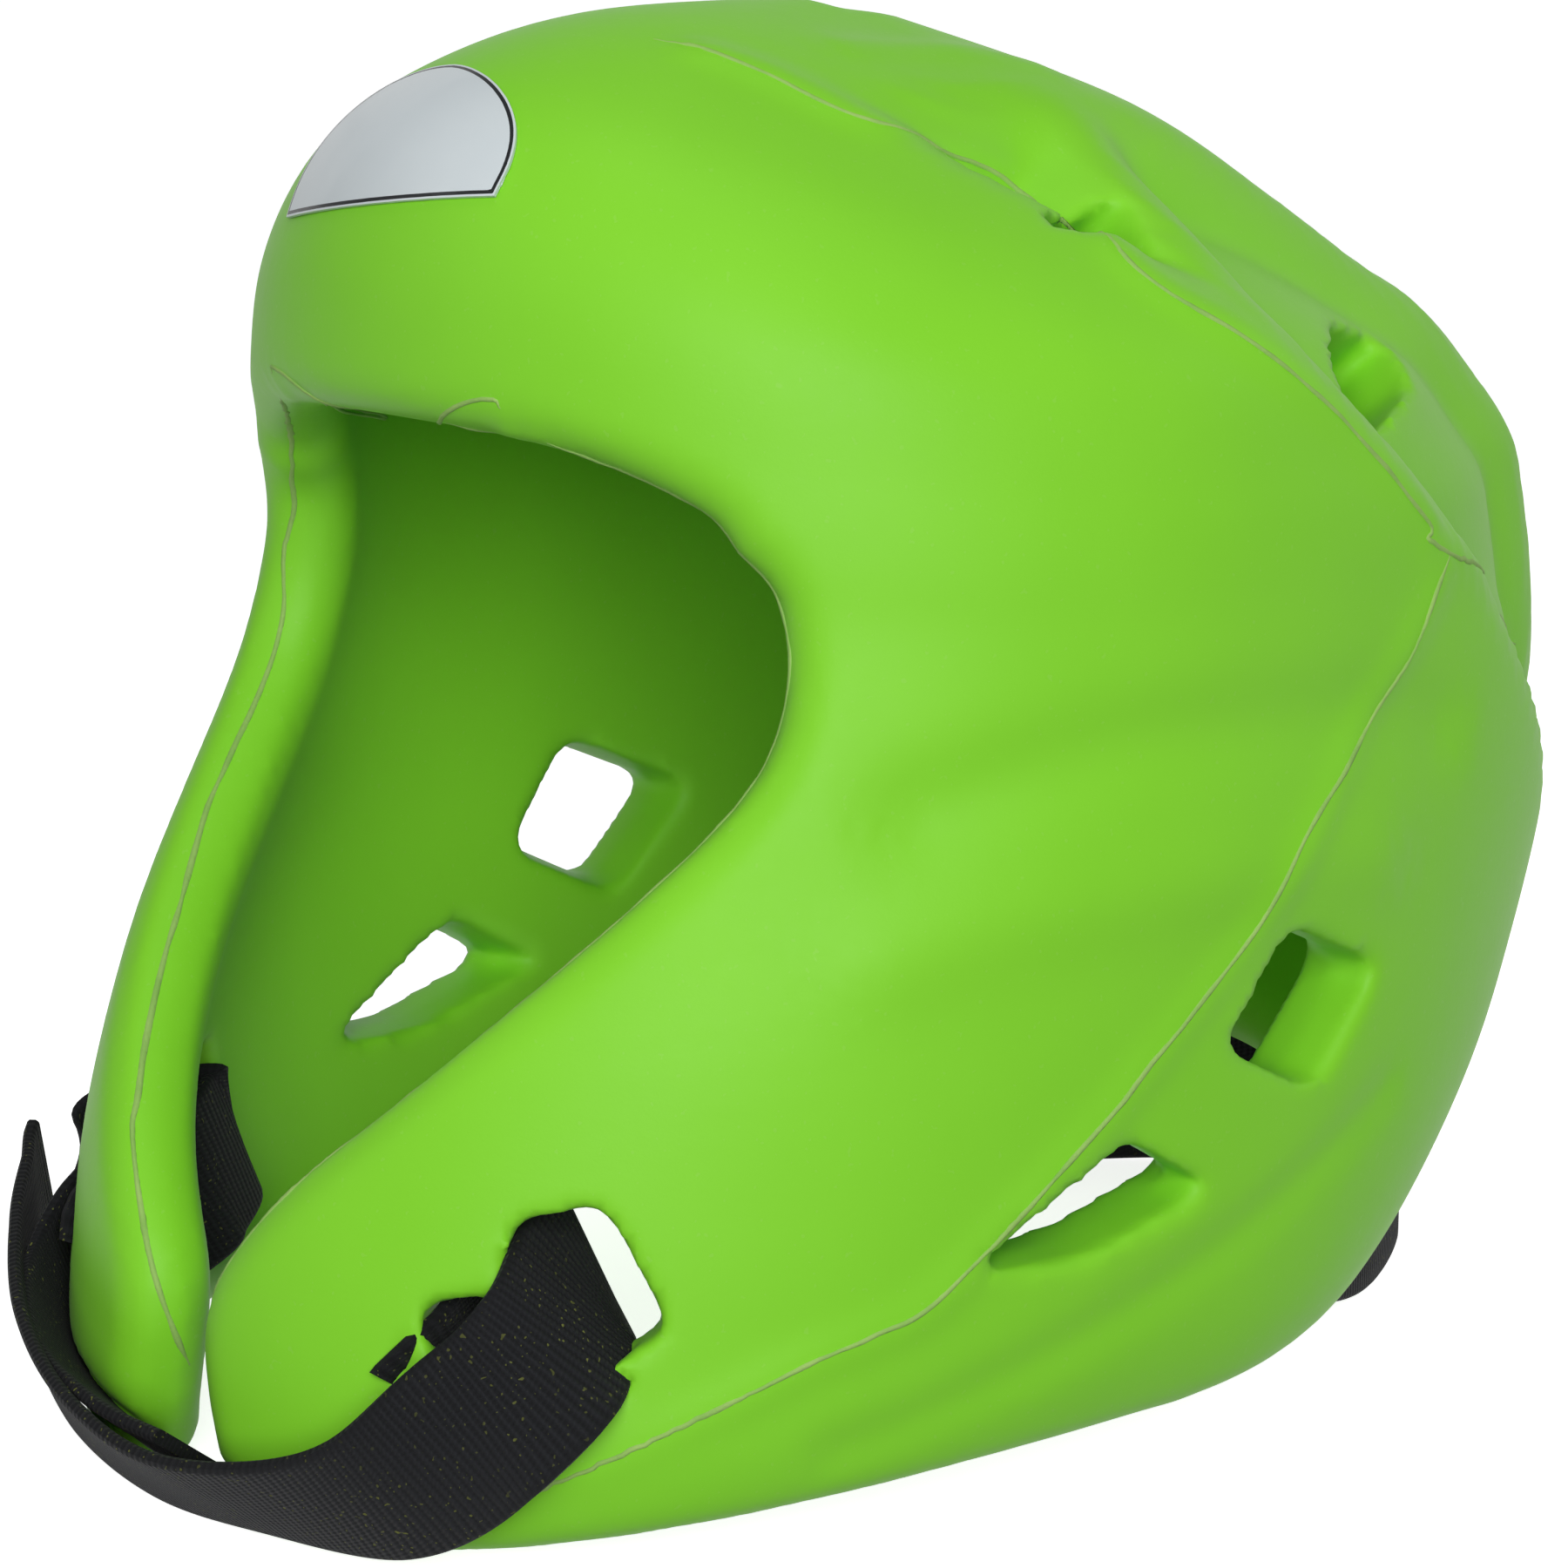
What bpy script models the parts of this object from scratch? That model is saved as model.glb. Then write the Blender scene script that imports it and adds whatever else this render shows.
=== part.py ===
"""A moulded foam head guard for kick-boxing, with webbing straps.

The guard stands on its lower rim: +Z is up, it faces -Y, and the wearer's left is +X.
The origin is on the surface that it stands on. Lengths are in metres and angles in degrees.
"""

import math
from dataclasses import dataclass, fields

import bmesh
import bpy
import numpy as np
from mathutils import Vector

# Driving dimensions
HEAD_WIDTH = 0.200
FRONT_REACH = 0.136
BACK_REACH = 0.150
GUARD_HEIGHT = 0.229
WALL = 0.016
CROWN_RELIEF = 0.009
STRAP_WIDTH = 0.030
STRAP_THICKNESS = 0.0022
NAPE_STRAP_WIDTH = 0.029
LABEL_WIDTH = 0.052
LABEL_OFFSET = 0.002
LABEL_THICKNESS = 0.0009
GAP = 0.0003
STRAP_CLEARANCE = 0.0006
LABEL_CLEARANCE = 0.0009

# Steps along the surface
FRONT_COLUMNS = 7
SIDE_COLUMNS = 24
ROWS_BELOW_BROW = 12
ROWS_ABOVE_BROW = 13
STRAP_STEPS = 5

# The belts of the middle of the wall, from the lower rim to the crown: name, start, width, front,
# back, front height, side height, back height and fullness. The start is the azimuth, from the
# front, of the face edge or of the column above it. The other columns are shares: of half the head
# width, of the front and back reaches, and of the guard's height at the front, side and back. The
# fullness is 2 for a round front, and more for a squarer one.
BELT_ROWS = (
    ("lower rim", 7, 0.800, 0.930, 0.60, -0.003, 0.042, 0.170, 2.5),
    ("rim turn", 4, 0.860, 0.950, 0.70, 0.050, 0.100, 0.220, 2.4),
    ("jaw", 3, 0.890, 0.945, 0.80, 0.145, 0.175, 0.285, 2.25),
    ("chin", 10, 0.905, 0.925, 0.86, 0.220, 0.260, 0.350, 2.15),
    ("cheek", 22, 0.915, 0.875, 0.91, 0.300, 0.360, 0.425, 2.1),
    ("ear", 36, 0.920, 0.805, 0.93, 0.400, 0.450, 0.490, 2.0),
    ("cheekbone", 45, 0.920, 0.725, 0.92, 0.500, 0.530, 0.550, 2.0),
    ("temple", 45, 0.910, 0.670, 0.90, 0.600, 0.600, 0.610, 2.0),
    ("upper temple", 40, 0.905, 0.665, 0.88, 0.670, 0.640, 0.645, 2.0),
    ("brow", 17, 0.890, 0.660, 0.825, 0.728, 0.680, 0.680, 2.0),
    ("forehead", 22, 0.845, 0.650, 0.735, 0.825, 0.750, 0.730, 2.0),
    ("hairline", 29, 0.735, 0.600, 0.630, 0.895, 0.800, 0.765, 2.0),
    ("crown edge", 29, 0.570, 0.500, 0.510, 0.935, 0.850, 0.815, 2.0),
    ("crown", 29, 0.350, 0.330, 0.35, 0.960, 0.910, 0.880, 2.0),
    ("top", 29, 0.060, 0.060, 0.06, 0.965, 0.955, 0.950, 2.0),
)
BROW_BELT = 9

# Openings through the left side of the wall, mirrored on the right. Each row is one corner, in
# order round its opening, as a level of the belt table and an azimuth from the front.
OPENING_ROWS = (
    ("upper ear", 4.25, 93.5),
    ("upper ear", 3.75, 102.5),
    ("upper ear", 3.05, 96.0),
    ("upper ear", 3.50, 88.5),
    ("lower ear", 3.00, 81.0),
    ("lower ear", 2.45, 87.5),
    ("lower ear", 2.10, 78.0),
    ("lower ear", 2.20, 68.5),
    ("strap slot", 2.98, 33.5),
    ("strap slot", 3.10, 41.0),
    ("strap slot", 2.05, 48.0),
    ("strap slot", 1.80, 41.5),
    ("tail slot", 2.30, 24.5),
    ("tail slot", 2.38, 31.0),
    ("tail slot", 1.50, 38.0),
    ("tail slot", 1.28, 32.0),
    ("front vent", 11.5, 70.0),
    ("front vent", 12.2, 97.0),
    ("front vent", 11.0, 90.0),
    ("rear vent", 10.5, 113.0),
    ("rear vent", 11.9, 128.0),
    ("rear vent", 11.4, 150.0),
    ("rear vent", 9.8, 130.0),
)
CORNER_ROUNDING = 0.22

# The rings of an opening's plug: how far each lies from the middle of the wall, in walls, and how
# much wider it is than the throat.
PLUG_RINGS = ((-1.6, 0.288), (-0.5, 0.090), (0.0, 0.0), (0.45, 0.018), (1.6, 0.108))

# The chin strap's left half, as points of its middle line: place, across, ahead, height and lean.
# The shares are of half the head width, of the front reach and of the guard's height. The lean
# turns the webbing about its own line.
STRAP_ROWS = (
    ("tail", 0.390, -0.955, 0.085, -8),
    ("tail slot", 0.450, -0.850, 0.125, 5),
    ("inside", 0.420, -0.745, 0.158, 10),
    ("behind the bridge", 0.500, -0.670, 0.178, 20),
    ("strap slot", 0.600, -0.725, 0.186, 30),
    ("outside", 0.650, -0.822, 0.172, 28),
    ("jaw", 0.605, -0.905, 0.140, 14),
    ("chin, left", 0.490, -0.990, 0.0715, -20),
    ("chin, near the middle", 0.240, -1.062, 0.0575, -38),
    ("chin, middle", -0.020, -1.080, 0.0565, -42),
    ("chin, past the middle", -0.300, -1.053, 0.0575, -38),
    ("chin, right", -0.570, -0.972, 0.0715, -20),
    ("right jaw", -0.750, -0.885, 0.105, -5),
    ("free end", -0.850, -0.830, 0.140, 0),
)

# The chin strap's right half, in the same columns with its side mirrored. It lies inside the left.
INNER_STRAP_ROWS = (
    ("tail", 0.390, -0.935, 0.095, -8),
    ("tail slot", 0.450, -0.840, 0.125, 5),
    ("inside", 0.420, -0.745, 0.158, 10),
    ("behind the bridge", 0.500, -0.670, 0.178, 20),
    ("strap slot", 0.600, -0.725, 0.186, 30),
    ("outside", 0.642, -0.815, 0.170, 28),
    ("jaw", 0.590, -0.892, 0.134, 14),
    ("chin, right", 0.480, -0.968, 0.076, -20),
    ("chin, near the middle", 0.240, -1.036, 0.068, -38),
    ("chin, middle", 0.000, -1.054, 0.067, -42),
    ("end", -0.180, -1.042, 0.068, -38),
)

# The raised edges of the crown. The ridge is the line where the smooth side meets the crown: a plane
# that falls to the back. Between it and the middle band the wall is sunk, apart from a bar across.
RIDGE_HEIGHT = 0.744
RIDGE_FALL = -0.843
RIDGE_RISE = 0.153
RIDGE_BLEND = 0.09
BAND_HALF_WIDTH = 0.33
BAND_BLEND = 0.15
CROSSBAR_FRONT = -0.02
CROSSBAR_BACK = 0.19
CROSSBAR_BLEND = 0.13

# The nape strap's place, across, behind, height and lean, as shares of half the head width, the
# back reach and the guard's height. It is given from its left end to the middle, and mirrored.
NAPE_ROWS = (
    ("left end", 0.600, 0.300, 0.125, -20),
    ("inside the rim", 0.575, 0.420, 0.085, -10),
    ("left turn", 0.480, 0.580, 0.066, 0),
    ("left quarter", 0.280, 0.760, 0.066, 0),
    ("middle", 0.000, 0.830, 0.066, 0),
)

# The label, as levels of the belt table along its lower edge and at its top
LABEL_LOW = 10.30
LABEL_HIGH = 11.75
LABEL_COLUMNS = 12
LABEL_ROWS = 6

MATERIALS = {
    "shell": ((0.235, 0.700, 0.035, 1.0), 0.55),
    "webbing": ((0.010, 0.010, 0.012, 1.0), 0.90),
    "label": ((0.780, 0.790, 0.800, 1.0), 0.45),
}


@dataclass(frozen=True)
class Belt:
    """One level of the guard's form, as real lengths."""

    start: float
    width: float
    front: float
    back: float
    front_height: float
    side_height: float
    back_height: float
    fullness: float


def remove_everything():
    """Empty the file before the model is made."""
    for old in list(bpy.data.objects):
        bpy.data.objects.remove(old, do_unlink=True)


def make_material(name):
    """Return the Principled BSDF material of one finish."""
    colour, roughness = MATERIALS[name]
    material = bpy.data.materials.new(name)
    material.use_nodes = True
    shader = material.node_tree.nodes["Principled BSDF"]
    shader.inputs["Base Color"].default_value = colour
    shader.inputs["Roughness"].default_value = roughness
    shader.inputs["Metallic"].default_value = 0.0
    return material


def belts():
    """Turn the belt table into real lengths, measured to the middle of the wall."""
    half = HEAD_WIDTH / 2
    return [
        Belt(start, width * half, front * FRONT_REACH, back * BACK_REACH,
             low * GUARD_HEIGHT, side * GUARD_HEIGHT, high * GUARD_HEIGHT, fullness)
        for _, start, width, front, back, low, side, high, fullness in BELT_ROWS
    ]


def smooth_between(values, place):
    """Read a list at a fractional place, on a smooth curve through its values."""
    last = len(values) - 1
    index = min(int(place), last - 1)
    part = place - index
    before = values[max(index - 1, 0)]
    first, second = values[index], values[index + 1]
    after = values[min(index + 2, last)]
    slope_in = (second - before) / 2
    slope_out = (after - first) / 2
    square, cube = part * part, part * part * part
    return (
        (2 * cube - 3 * square + 1) * first
        + (cube - 2 * square + part) * slope_in
        + (3 * square - 2 * cube) * second
        + (cube - square) * slope_out
    )


def belt_at(level):
    """Return the belt at a fractional level of the table."""
    table = belts()
    names = [field.name for field in fields(Belt)]
    return Belt(*(smooth_between([getattr(belt, name) for belt in table], level) for name in names))


def form_point(belt, azimuth):
    """Return the point of the wall's middle on a belt, at an azimuth from the front."""
    turn = math.radians(azimuth)
    side, ahead = math.sin(turn), math.cos(turn)
    end_height = belt.front_height if ahead > 0 else belt.back_height
    height = belt.side_height + (end_height - belt.side_height) * ahead * ahead
    power = 2 / belt.fullness if ahead > 0 else 1.0
    across = belt.width * max(side, 0.0) ** power
    along = -belt.front * ahead ** power if ahead > 0 else -belt.back * ahead
    return Vector((across, along, height))


def eased_steps(count):
    """Return shares from 0 to 1 that lie closer together at the start, for a round edge."""
    edge = (0.0, 0.006, 0.022, 0.050)
    rest = [0.050 + (1 - 0.050) * step / (count - 3) for step in range(1, count - 2)]
    return list(edge) + rest


def wall_levels():
    """Return the levels of the rows, closer together at the lower rim and at the brow."""
    below = [share * BROW_BELT for share in eased_steps(ROWS_BELOW_BROW)]
    below[-1:] = [BROW_BELT - 0.30, BROW_BELT]
    span = len(BELT_ROWS) - 1 - BROW_BELT
    above = [BROW_BELT + share * span for share in eased_steps(ROWS_ABOVE_BROW)]
    return below + above[1:], len(below) - 1


def smooth_step(value):
    """Return 0 below 0, 1 above 1 and a smooth rise between."""
    share = min(max(value, 0.0), 1.0)
    return share * share * (3 - 2 * share)


def crown_sink(point):
    """Return how far the wall is sunk at a point, between the ridge, the middle band and the bar."""
    half = HEAD_WIDTH / 2
    ridge = RIDGE_HEIGHT * GUARD_HEIGHT + RIDGE_FALL * point.y + RIDGE_RISE * abs(point.x)
    above = smooth_step((point.z - ridge) / (RIDGE_BLEND * GUARD_HEIGHT))
    beside = smooth_step((abs(point.x) / half - BAND_HALF_WIDTH) / BAND_BLEND)
    along = point.y / BACK_REACH
    bar = smooth_step((along - CROSSBAR_FRONT) / CROSSBAR_BLEND)
    bar *= smooth_step((CROSSBAR_BACK - along) / CROSSBAR_BLEND)
    return CROWN_RELIEF * above * beside * (1 - bar)


def form_normal(level, azimuth):
    """Return the outward direction of the wall at a place."""
    step = 0.5
    across = form_point(belt_at(level), azimuth + step) - form_point(belt_at(level), azimuth - step)
    lower = max(level - 0.1, 0)
    upper = min(level + 0.1, len(BELT_ROWS) - 1)
    up = form_point(belt_at(upper), azimuth) - form_point(belt_at(lower), azimuth)
    return across.cross(up).normalized()


def wall_point(level, azimuth):
    """Return a point of the wall's middle, sunk where the crown is."""
    point = form_point(belt_at(level), azimuth)
    return point - form_normal(level, azimuth) * crown_sink(point)


def wall_start(level):
    """Return the azimuth where the wall starts at a level, with a round turn into the brow."""
    share = level - (BROW_BELT - 1)
    if share < 0:
        return belt_at(level).start
    below, above = belt_at(BROW_BELT - 1).start, belt_at(BROW_BELT).start
    return above + (below - above) * math.sqrt(max(1 - share * share, 0.0))


def make_half_wall():
    """Make the left half of the wall's middle surface, open at the face and at the lower rim."""
    levels, brow_row = wall_levels()
    mesh = bmesh.new()
    grid = []
    for row, level in enumerate(levels):
        start = wall_start(level)
        front = [start * column / FRONT_COLUMNS for column in range(FRONT_COLUMNS)]
        side = [start + (180 - start) * share for share in eased_steps(SIDE_COLUMNS)]
        points = []
        for column, azimuth in enumerate(front + side):
            if row < brow_row and column < FRONT_COLUMNS:
                points.append(None)
                continue
            point = wall_point(level, azimuth)
            if azimuth in (0, 180):
                point.x = 0.0
            points.append(mesh.verts.new(point))
        grid.append(points)
    for lower, upper in zip(grid, grid[1:]):
        for column in range(len(lower) - 1):
            corners = (lower[column], lower[column + 1], upper[column + 1], upper[column])
            if all(corners):
                mesh.faces.new(corners)
    top = grid[-1]
    centre = mesh.verts.new(Vector((0, 0, max(vertex.co.z for vertex in top))))
    for first, second in zip(top, top[1:]):
        mesh.faces.new((first, second, centre))
    return mesh


def edge_distances(mesh):
    """Return each vertex's distance from the free edge of the half wall."""
    ends = [
        [vertex.co.copy() for vertex in edge.verts]
        for edge in mesh.edges
        if edge.is_boundary and max(abs(vertex.co.x) for vertex in edge.verts) > GAP
    ]
    first = np.array([pair[0] for pair in ends])
    run = np.array([pair[1] for pair in ends]) - first
    distances = []
    for vertex in mesh.verts:
        offset = np.array(vertex.co) - first
        share = np.clip((offset * run).sum(1) / (run * run).sum(1), 0, 1)[:, None]
        distances.append(float(np.sqrt(((offset - share * run) ** 2).sum(1)).min()))
    return distances


def add_object(name, mesh, material):
    """Turn a bmesh into a named object with a material, and return it."""
    data = bpy.data.meshes.new(name)
    mesh.normal_update()
    mesh.to_mesh(data)
    mesh.free()
    data.materials.append(material)
    thing = bpy.data.objects.new(name, data)
    bpy.context.collection.objects.link(thing)
    return thing


def rounded_outline(corners):
    """Return a closed outline through straight sides and round corners."""
    outline = []
    count = len(corners)
    for index, corner in enumerate(corners):
        before, after = corners[index - 1], corners[(index + 1) % count]
        start = corner.lerp(before, CORNER_ROUNDING)
        end = corner.lerp(after, CORNER_ROUNDING)
        for step in range(4):
            share = step / 3
            outline.append(start.lerp(corner, share).lerp(corner.lerp(end, share), share))
    return outline


def make_opening_cutter(name):
    """Make the pair of flared plugs that cut one opening through both sides of the wall."""
    corners = [wall_point(level, azimuth) for opening, level, azimuth in OPENING_ROWS if opening == name]
    centre = sum(corners, Vector()) / len(corners)
    normal = sum(
        ((first - centre).cross(second - centre) for first, second in zip(corners, corners[1:] + corners[:1])),
        Vector(),
    ).normalized()
    if normal.dot(centre - Vector((0, 0, GUARD_HEIGHT / 2))) < 0:
        normal.negate()
        corners.reverse()
    outline = rounded_outline(corners)
    mesh = bmesh.new()
    rings = []
    for depth, wider in PLUG_RINGS:
        points = [
            centre + (point - centre) * (1 + wider) + normal * depth * WALL for point in outline
        ]
        rings.append([mesh.verts.new(point) for point in points])
    for lower, upper in zip(rings, rings[1:]):
        for index in range(len(lower)):
            following = (index + 1) % len(lower)
            mesh.faces.new((lower[index], lower[following], upper[following], upper[index]))
    mesh.faces.new(list(reversed(rings[0])))
    mesh.faces.new(rings[-1])
    bmesh.ops.recalc_face_normals(mesh, faces=mesh.faces)
    cutter = add_object(name.replace(" ", "_") + "_cutter", mesh, bpy.data.materials["shell"])
    mirror = cutter.modifiers.new("Both sides", "MIRROR")
    mirror.use_mirror_merge = False
    cutter.hide_render = True
    cutter.display_type = "WIRE"
    return cutter


def make_shell(straps):
    """Make the foam guard: a wall with a round free edge, cut through where the straps pass and at
    its openings."""
    mesh = make_half_wall()
    distances = edge_distances(mesh)
    shell = add_object("shell", mesh, make_material("shell"))
    group = shell.vertex_groups.new(name="thickness")
    round_off = WALL / 2
    for index, distance in enumerate(distances):
        inward = 1 - min(distance / round_off, 1.0)
        group.add([index], math.sqrt(max(1 - inward * inward, 0.0)), "REPLACE")
    mirror = shell.modifiers.new("Both sides", "MIRROR")
    mirror.merge_threshold = 0.0001
    wall = shell.modifiers.new("Wall", "SOLIDIFY")
    wall.thickness = WALL
    wall.offset = 0
    wall.vertex_group = "thickness"
    wall.thickness_vertex_group = 0.03
    cutters = [make_opening_cutter(name) for name in dict.fromkeys(row[0] for row in OPENING_ROWS)]
    cutters += [make_passage_cutter(strap) for strap in straps]
    cutters.append(make_standing_cutter())
    for cutter in cutters:
        cut = shell.modifiers.new(cutter.name, "BOOLEAN")
        cut.operation = "DIFFERENCE"
        cut.object = cutter
    return shell


def smooth_path(points, count):
    """Return evenly numbered points on a smooth line through the given ones."""
    last = len(points) - 1
    return [smooth_between(points, last * step / count) for step in range(count + 1)]


@dataclass(frozen=True)
class Webbing:
    """A flat band: its name, its middle line, the lean at each point of it and its width."""

    name: str
    path: list
    leans: list
    width: float

    def mesh(self, clearance=0.0):
        """Return the band as a bmesh, grown on all sides by a clearance."""
        half_width = self.width / 2 + clearance
        half_thickness = STRAP_THICKNESS / 2 + clearance
        mesh = bmesh.new()
        rings = []
        for index, point in enumerate(self.path):
            ahead = self.path[min(index + 1, len(self.path) - 1)] - self.path[max(index - 1, 0)]
            ahead.normalize()
            up = (Vector((0, 0, 1)) - ahead * ahead.z).normalized()
            side = ahead.cross(up)
            lean = math.radians(self.leans[index])
            across = up * math.cos(lean) + side * math.sin(lean)
            out = ahead.cross(across).normalized()
            end = {0: -1, len(self.path) - 1: 1}.get(index, 0)
            place = point + ahead * clearance * end
            rings.append([
                mesh.verts.new(place + across * half_width * edge + out * half_thickness * face)
                for edge, face in ((-1, -1), (1, -1), (1, 1), (-1, 1))
            ])
        for lower, upper in zip(rings, rings[1:]):
            for index in range(4):
                following = (index + 1) % 4
                mesh.faces.new((lower[index], lower[following], upper[following], upper[index]))
        mesh.faces.new(rings[0])
        mesh.faces.new(rings[-1])
        bmesh.ops.triangulate(mesh, faces=mesh.faces, quad_method="FIXED")
        bmesh.ops.recalc_face_normals(mesh, faces=mesh.faces)
        return mesh


def make_standing_cutter():
    """Make the slab that presses the lower rim flat where the guard stands."""
    size = 2 * (FRONT_REACH + BACK_REACH)
    mesh = bmesh.new()
    bmesh.ops.create_cube(mesh, size=size)
    bmesh.ops.translate(mesh, verts=mesh.verts, vec=(0, 0, -size / 2))
    cutter = add_object("standing_cutter", mesh, bpy.data.materials["shell"])
    cutter.hide_render = True
    cutter.display_type = "WIRE"
    return cutter


def make_passage_cutter(strap):
    """Make the plug that clears a strap's way through the wall."""
    cutter = add_object(strap.name + "_cutter", strap.mesh(STRAP_CLEARANCE), bpy.data.materials["shell"])
    cutter.hide_render = True
    cutter.display_type = "WIRE"
    return cutter


def chin_strap(name, rows, side):
    """Return one half of the chin strap from its table."""
    points = [
        Vector((side * across * HEAD_WIDTH / 2, ahead * FRONT_REACH, height * GUARD_HEIGHT))
        for _, across, ahead, height, _ in rows
    ]
    steps = STRAP_STEPS * (len(points) - 1)
    leans = smooth_path([side * row[-1] for row in rows], steps)
    return Webbing(name, smooth_path(points, steps), leans, STRAP_WIDTH)


def nape_strap():
    """Return the band across the notch at the nape."""
    left = [
        (Vector((across * HEAD_WIDTH / 2, behind * BACK_REACH, height * GUARD_HEIGHT)), lean)
        for _, across, behind, height, lean in NAPE_ROWS
    ]
    right = [(Vector((-point.x, point.y, point.z)), lean) for point, lean in reversed(left[:-1])]
    both = left + right
    steps = STRAP_STEPS * (len(both) - 1)
    path = smooth_path([point for point, _ in both], steps)
    leans = smooth_path([lean for _, lean in both], steps)
    return Webbing("nape_strap", path, leans, NAPE_STRAP_WIDTH)


def label_edges(share):
    """Return the lower and upper edge of the label, as shares of its height, across its width."""
    lower = 0.11 * (1 + share) - 0.03 * (1 - share * share)
    upper = lower + 0.08 + (0.92 - lower) * math.sqrt(max(1 - abs(share) ** 1.7, 0.0))
    return lower, upper


def make_label(material):
    """Make the blank fan-shaped label that lies on the forehead."""
    mesh = bmesh.new()
    sheets = []
    for lift in (LABEL_CLEARANCE, LABEL_CLEARANCE + LABEL_THICKNESS):
        rows = []
        for row in range(LABEL_ROWS + 1):
            points = []
            for column in range(LABEL_COLUMNS + 1):
                share = 2 * column / LABEL_COLUMNS - 1
                lower, upper = label_edges(share)
                height = lower + (upper - lower) * row / LABEL_ROWS
                level = LABEL_LOW + (LABEL_HIGH - LABEL_LOW) * height
                half = belt_at(level).width
                across = share * LABEL_WIDTH / 2 + LABEL_OFFSET
                azimuth = math.degrees(math.asin(min(abs(across) / half, 1.0)))
                point = wall_point(level, azimuth) + form_normal(level, azimuth) * (WALL / 2 + lift)
                point.x = math.copysign(point.x, across)
                points.append(mesh.verts.new(point))
            rows.append(points)
        sheets.append(rows)
    back, front = sheets
    for row in range(LABEL_ROWS):
        for column in range(LABEL_COLUMNS):
            for sheet in sheets:
                mesh.faces.new((sheet[row][column], sheet[row][column + 1],
                                sheet[row + 1][column + 1], sheet[row + 1][column]))
    around = (
        [(0, column) for column in range(LABEL_COLUMNS)]
        + [(row, LABEL_COLUMNS) for row in range(LABEL_ROWS)]
        + [(LABEL_ROWS, column) for column in range(LABEL_COLUMNS, 0, -1)]
        + [(row, 0) for row in range(LABEL_ROWS, 0, -1)]
    )
    for (row, column), (next_row, next_column) in zip(around, around[1:] + around[:1]):
        mesh.faces.new((back[row][column], back[next_row][next_column],
                        front[next_row][next_column], front[row][column]))
    bmesh.ops.recalc_face_normals(mesh, faces=mesh.faces)
    return add_object("forehead_label", mesh, material)


def centre_on_origin():
    """Hang every object on an empty, and move it so that the origin is under the middle."""
    holder = bpy.data.objects.new("guard", None)
    bpy.context.collection.objects.link(holder)
    things = [thing for thing in bpy.data.objects if thing.type == "MESH"]
    for thing in things:
        thing.parent = holder
    bpy.context.view_layer.update()
    graph = bpy.context.evaluated_depsgraph_get()
    along = []
    for thing in things:
        if not thing.hide_render:
            mesh = thing.evaluated_get(graph).to_mesh()
            along += [vertex.co.y for vertex in mesh.vertices]
    holder.location.y = -(min(along) + max(along)) / 2


def build():
    """Make the whole guard."""
    remove_everything()
    straps = [
        chin_strap("chin_strap_left", STRAP_ROWS, 1),
        chin_strap("chin_strap_right", INNER_STRAP_ROWS, -1),
        nape_strap(),
    ]
    make_shell(straps)
    webbing = make_material("webbing")
    for strap in straps:
        add_object(strap.name, strap.mesh(), webbing)
    make_label(make_material("label"))
    centre_on_origin()


build()
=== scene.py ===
"""Dresses the foam head guard: moulded foam, its trimmed mould lines, webbing and a blank label.

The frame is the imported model's: +Z is up, the guard faces -Y and the wearer's left is +X.
Lengths are in metres, and points on the photograph are in pixels of 1800 x 1800.
"""

from __future__ import annotations

import logging
import math
from dataclasses import dataclass
from enum import Enum

import bpy
import numpy as np
from mathutils import Matrix, Vector
from mathutils.bvhtree import BVHTree

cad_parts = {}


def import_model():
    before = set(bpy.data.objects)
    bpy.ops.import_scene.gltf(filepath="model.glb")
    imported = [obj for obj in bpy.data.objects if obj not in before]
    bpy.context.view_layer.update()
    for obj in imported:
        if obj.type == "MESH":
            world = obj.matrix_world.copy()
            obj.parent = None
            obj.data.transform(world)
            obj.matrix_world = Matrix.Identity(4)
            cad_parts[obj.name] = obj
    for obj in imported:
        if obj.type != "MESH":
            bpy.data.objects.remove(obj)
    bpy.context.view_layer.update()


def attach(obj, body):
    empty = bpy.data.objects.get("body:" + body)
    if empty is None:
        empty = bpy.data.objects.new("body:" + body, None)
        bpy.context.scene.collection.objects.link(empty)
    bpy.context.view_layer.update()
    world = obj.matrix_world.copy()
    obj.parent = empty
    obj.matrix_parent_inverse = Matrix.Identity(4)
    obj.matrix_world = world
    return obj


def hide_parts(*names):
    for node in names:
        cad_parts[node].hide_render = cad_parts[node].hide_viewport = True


LOG = logging.getLogger("head guard")
BODY = "root"
# How far the form lies towards +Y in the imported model's frame.
FORWARD_SHIFT = 0.005113
# The ridge and the line down the cheek, which are both raised and trimmed.
RIDGE = (
    (600, 20), (750, 45), (870, 80), (1000, 138), (1160, 212), (1300, 304), (1430, 388),
    (1550, 490), (1640, 600), (1665, 635), (1740, 740), (1785, 870),
)
CHEEK = (
    (1665, 635), (1590, 800), (1500, 960), (1440, 1070), (1340, 1200), (1250, 1310),
    (1080, 1490), (1000, 1535), (900, 1580), (560, 1730),
)


class Side(Enum):
    """The wearer's side that a piece is on."""

    LEFT = 1
    RIGHT = -1


# Mesh helpers


def deselect_all() -> None:
    """Leave edit mode and select nothing."""
    if bpy.context.object and bpy.context.object.mode != "OBJECT":
        bpy.ops.object.mode_set(mode="OBJECT")
    bpy.ops.object.select_all(action="DESELECT")


def select_only(thing: bpy.types.Object) -> None:
    """Make one object the only selected and active one.

    Args:
        thing: the object to select.
    """
    deselect_all()
    thing.select_set(True)
    bpy.context.view_layer.objects.active = thing


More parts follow.
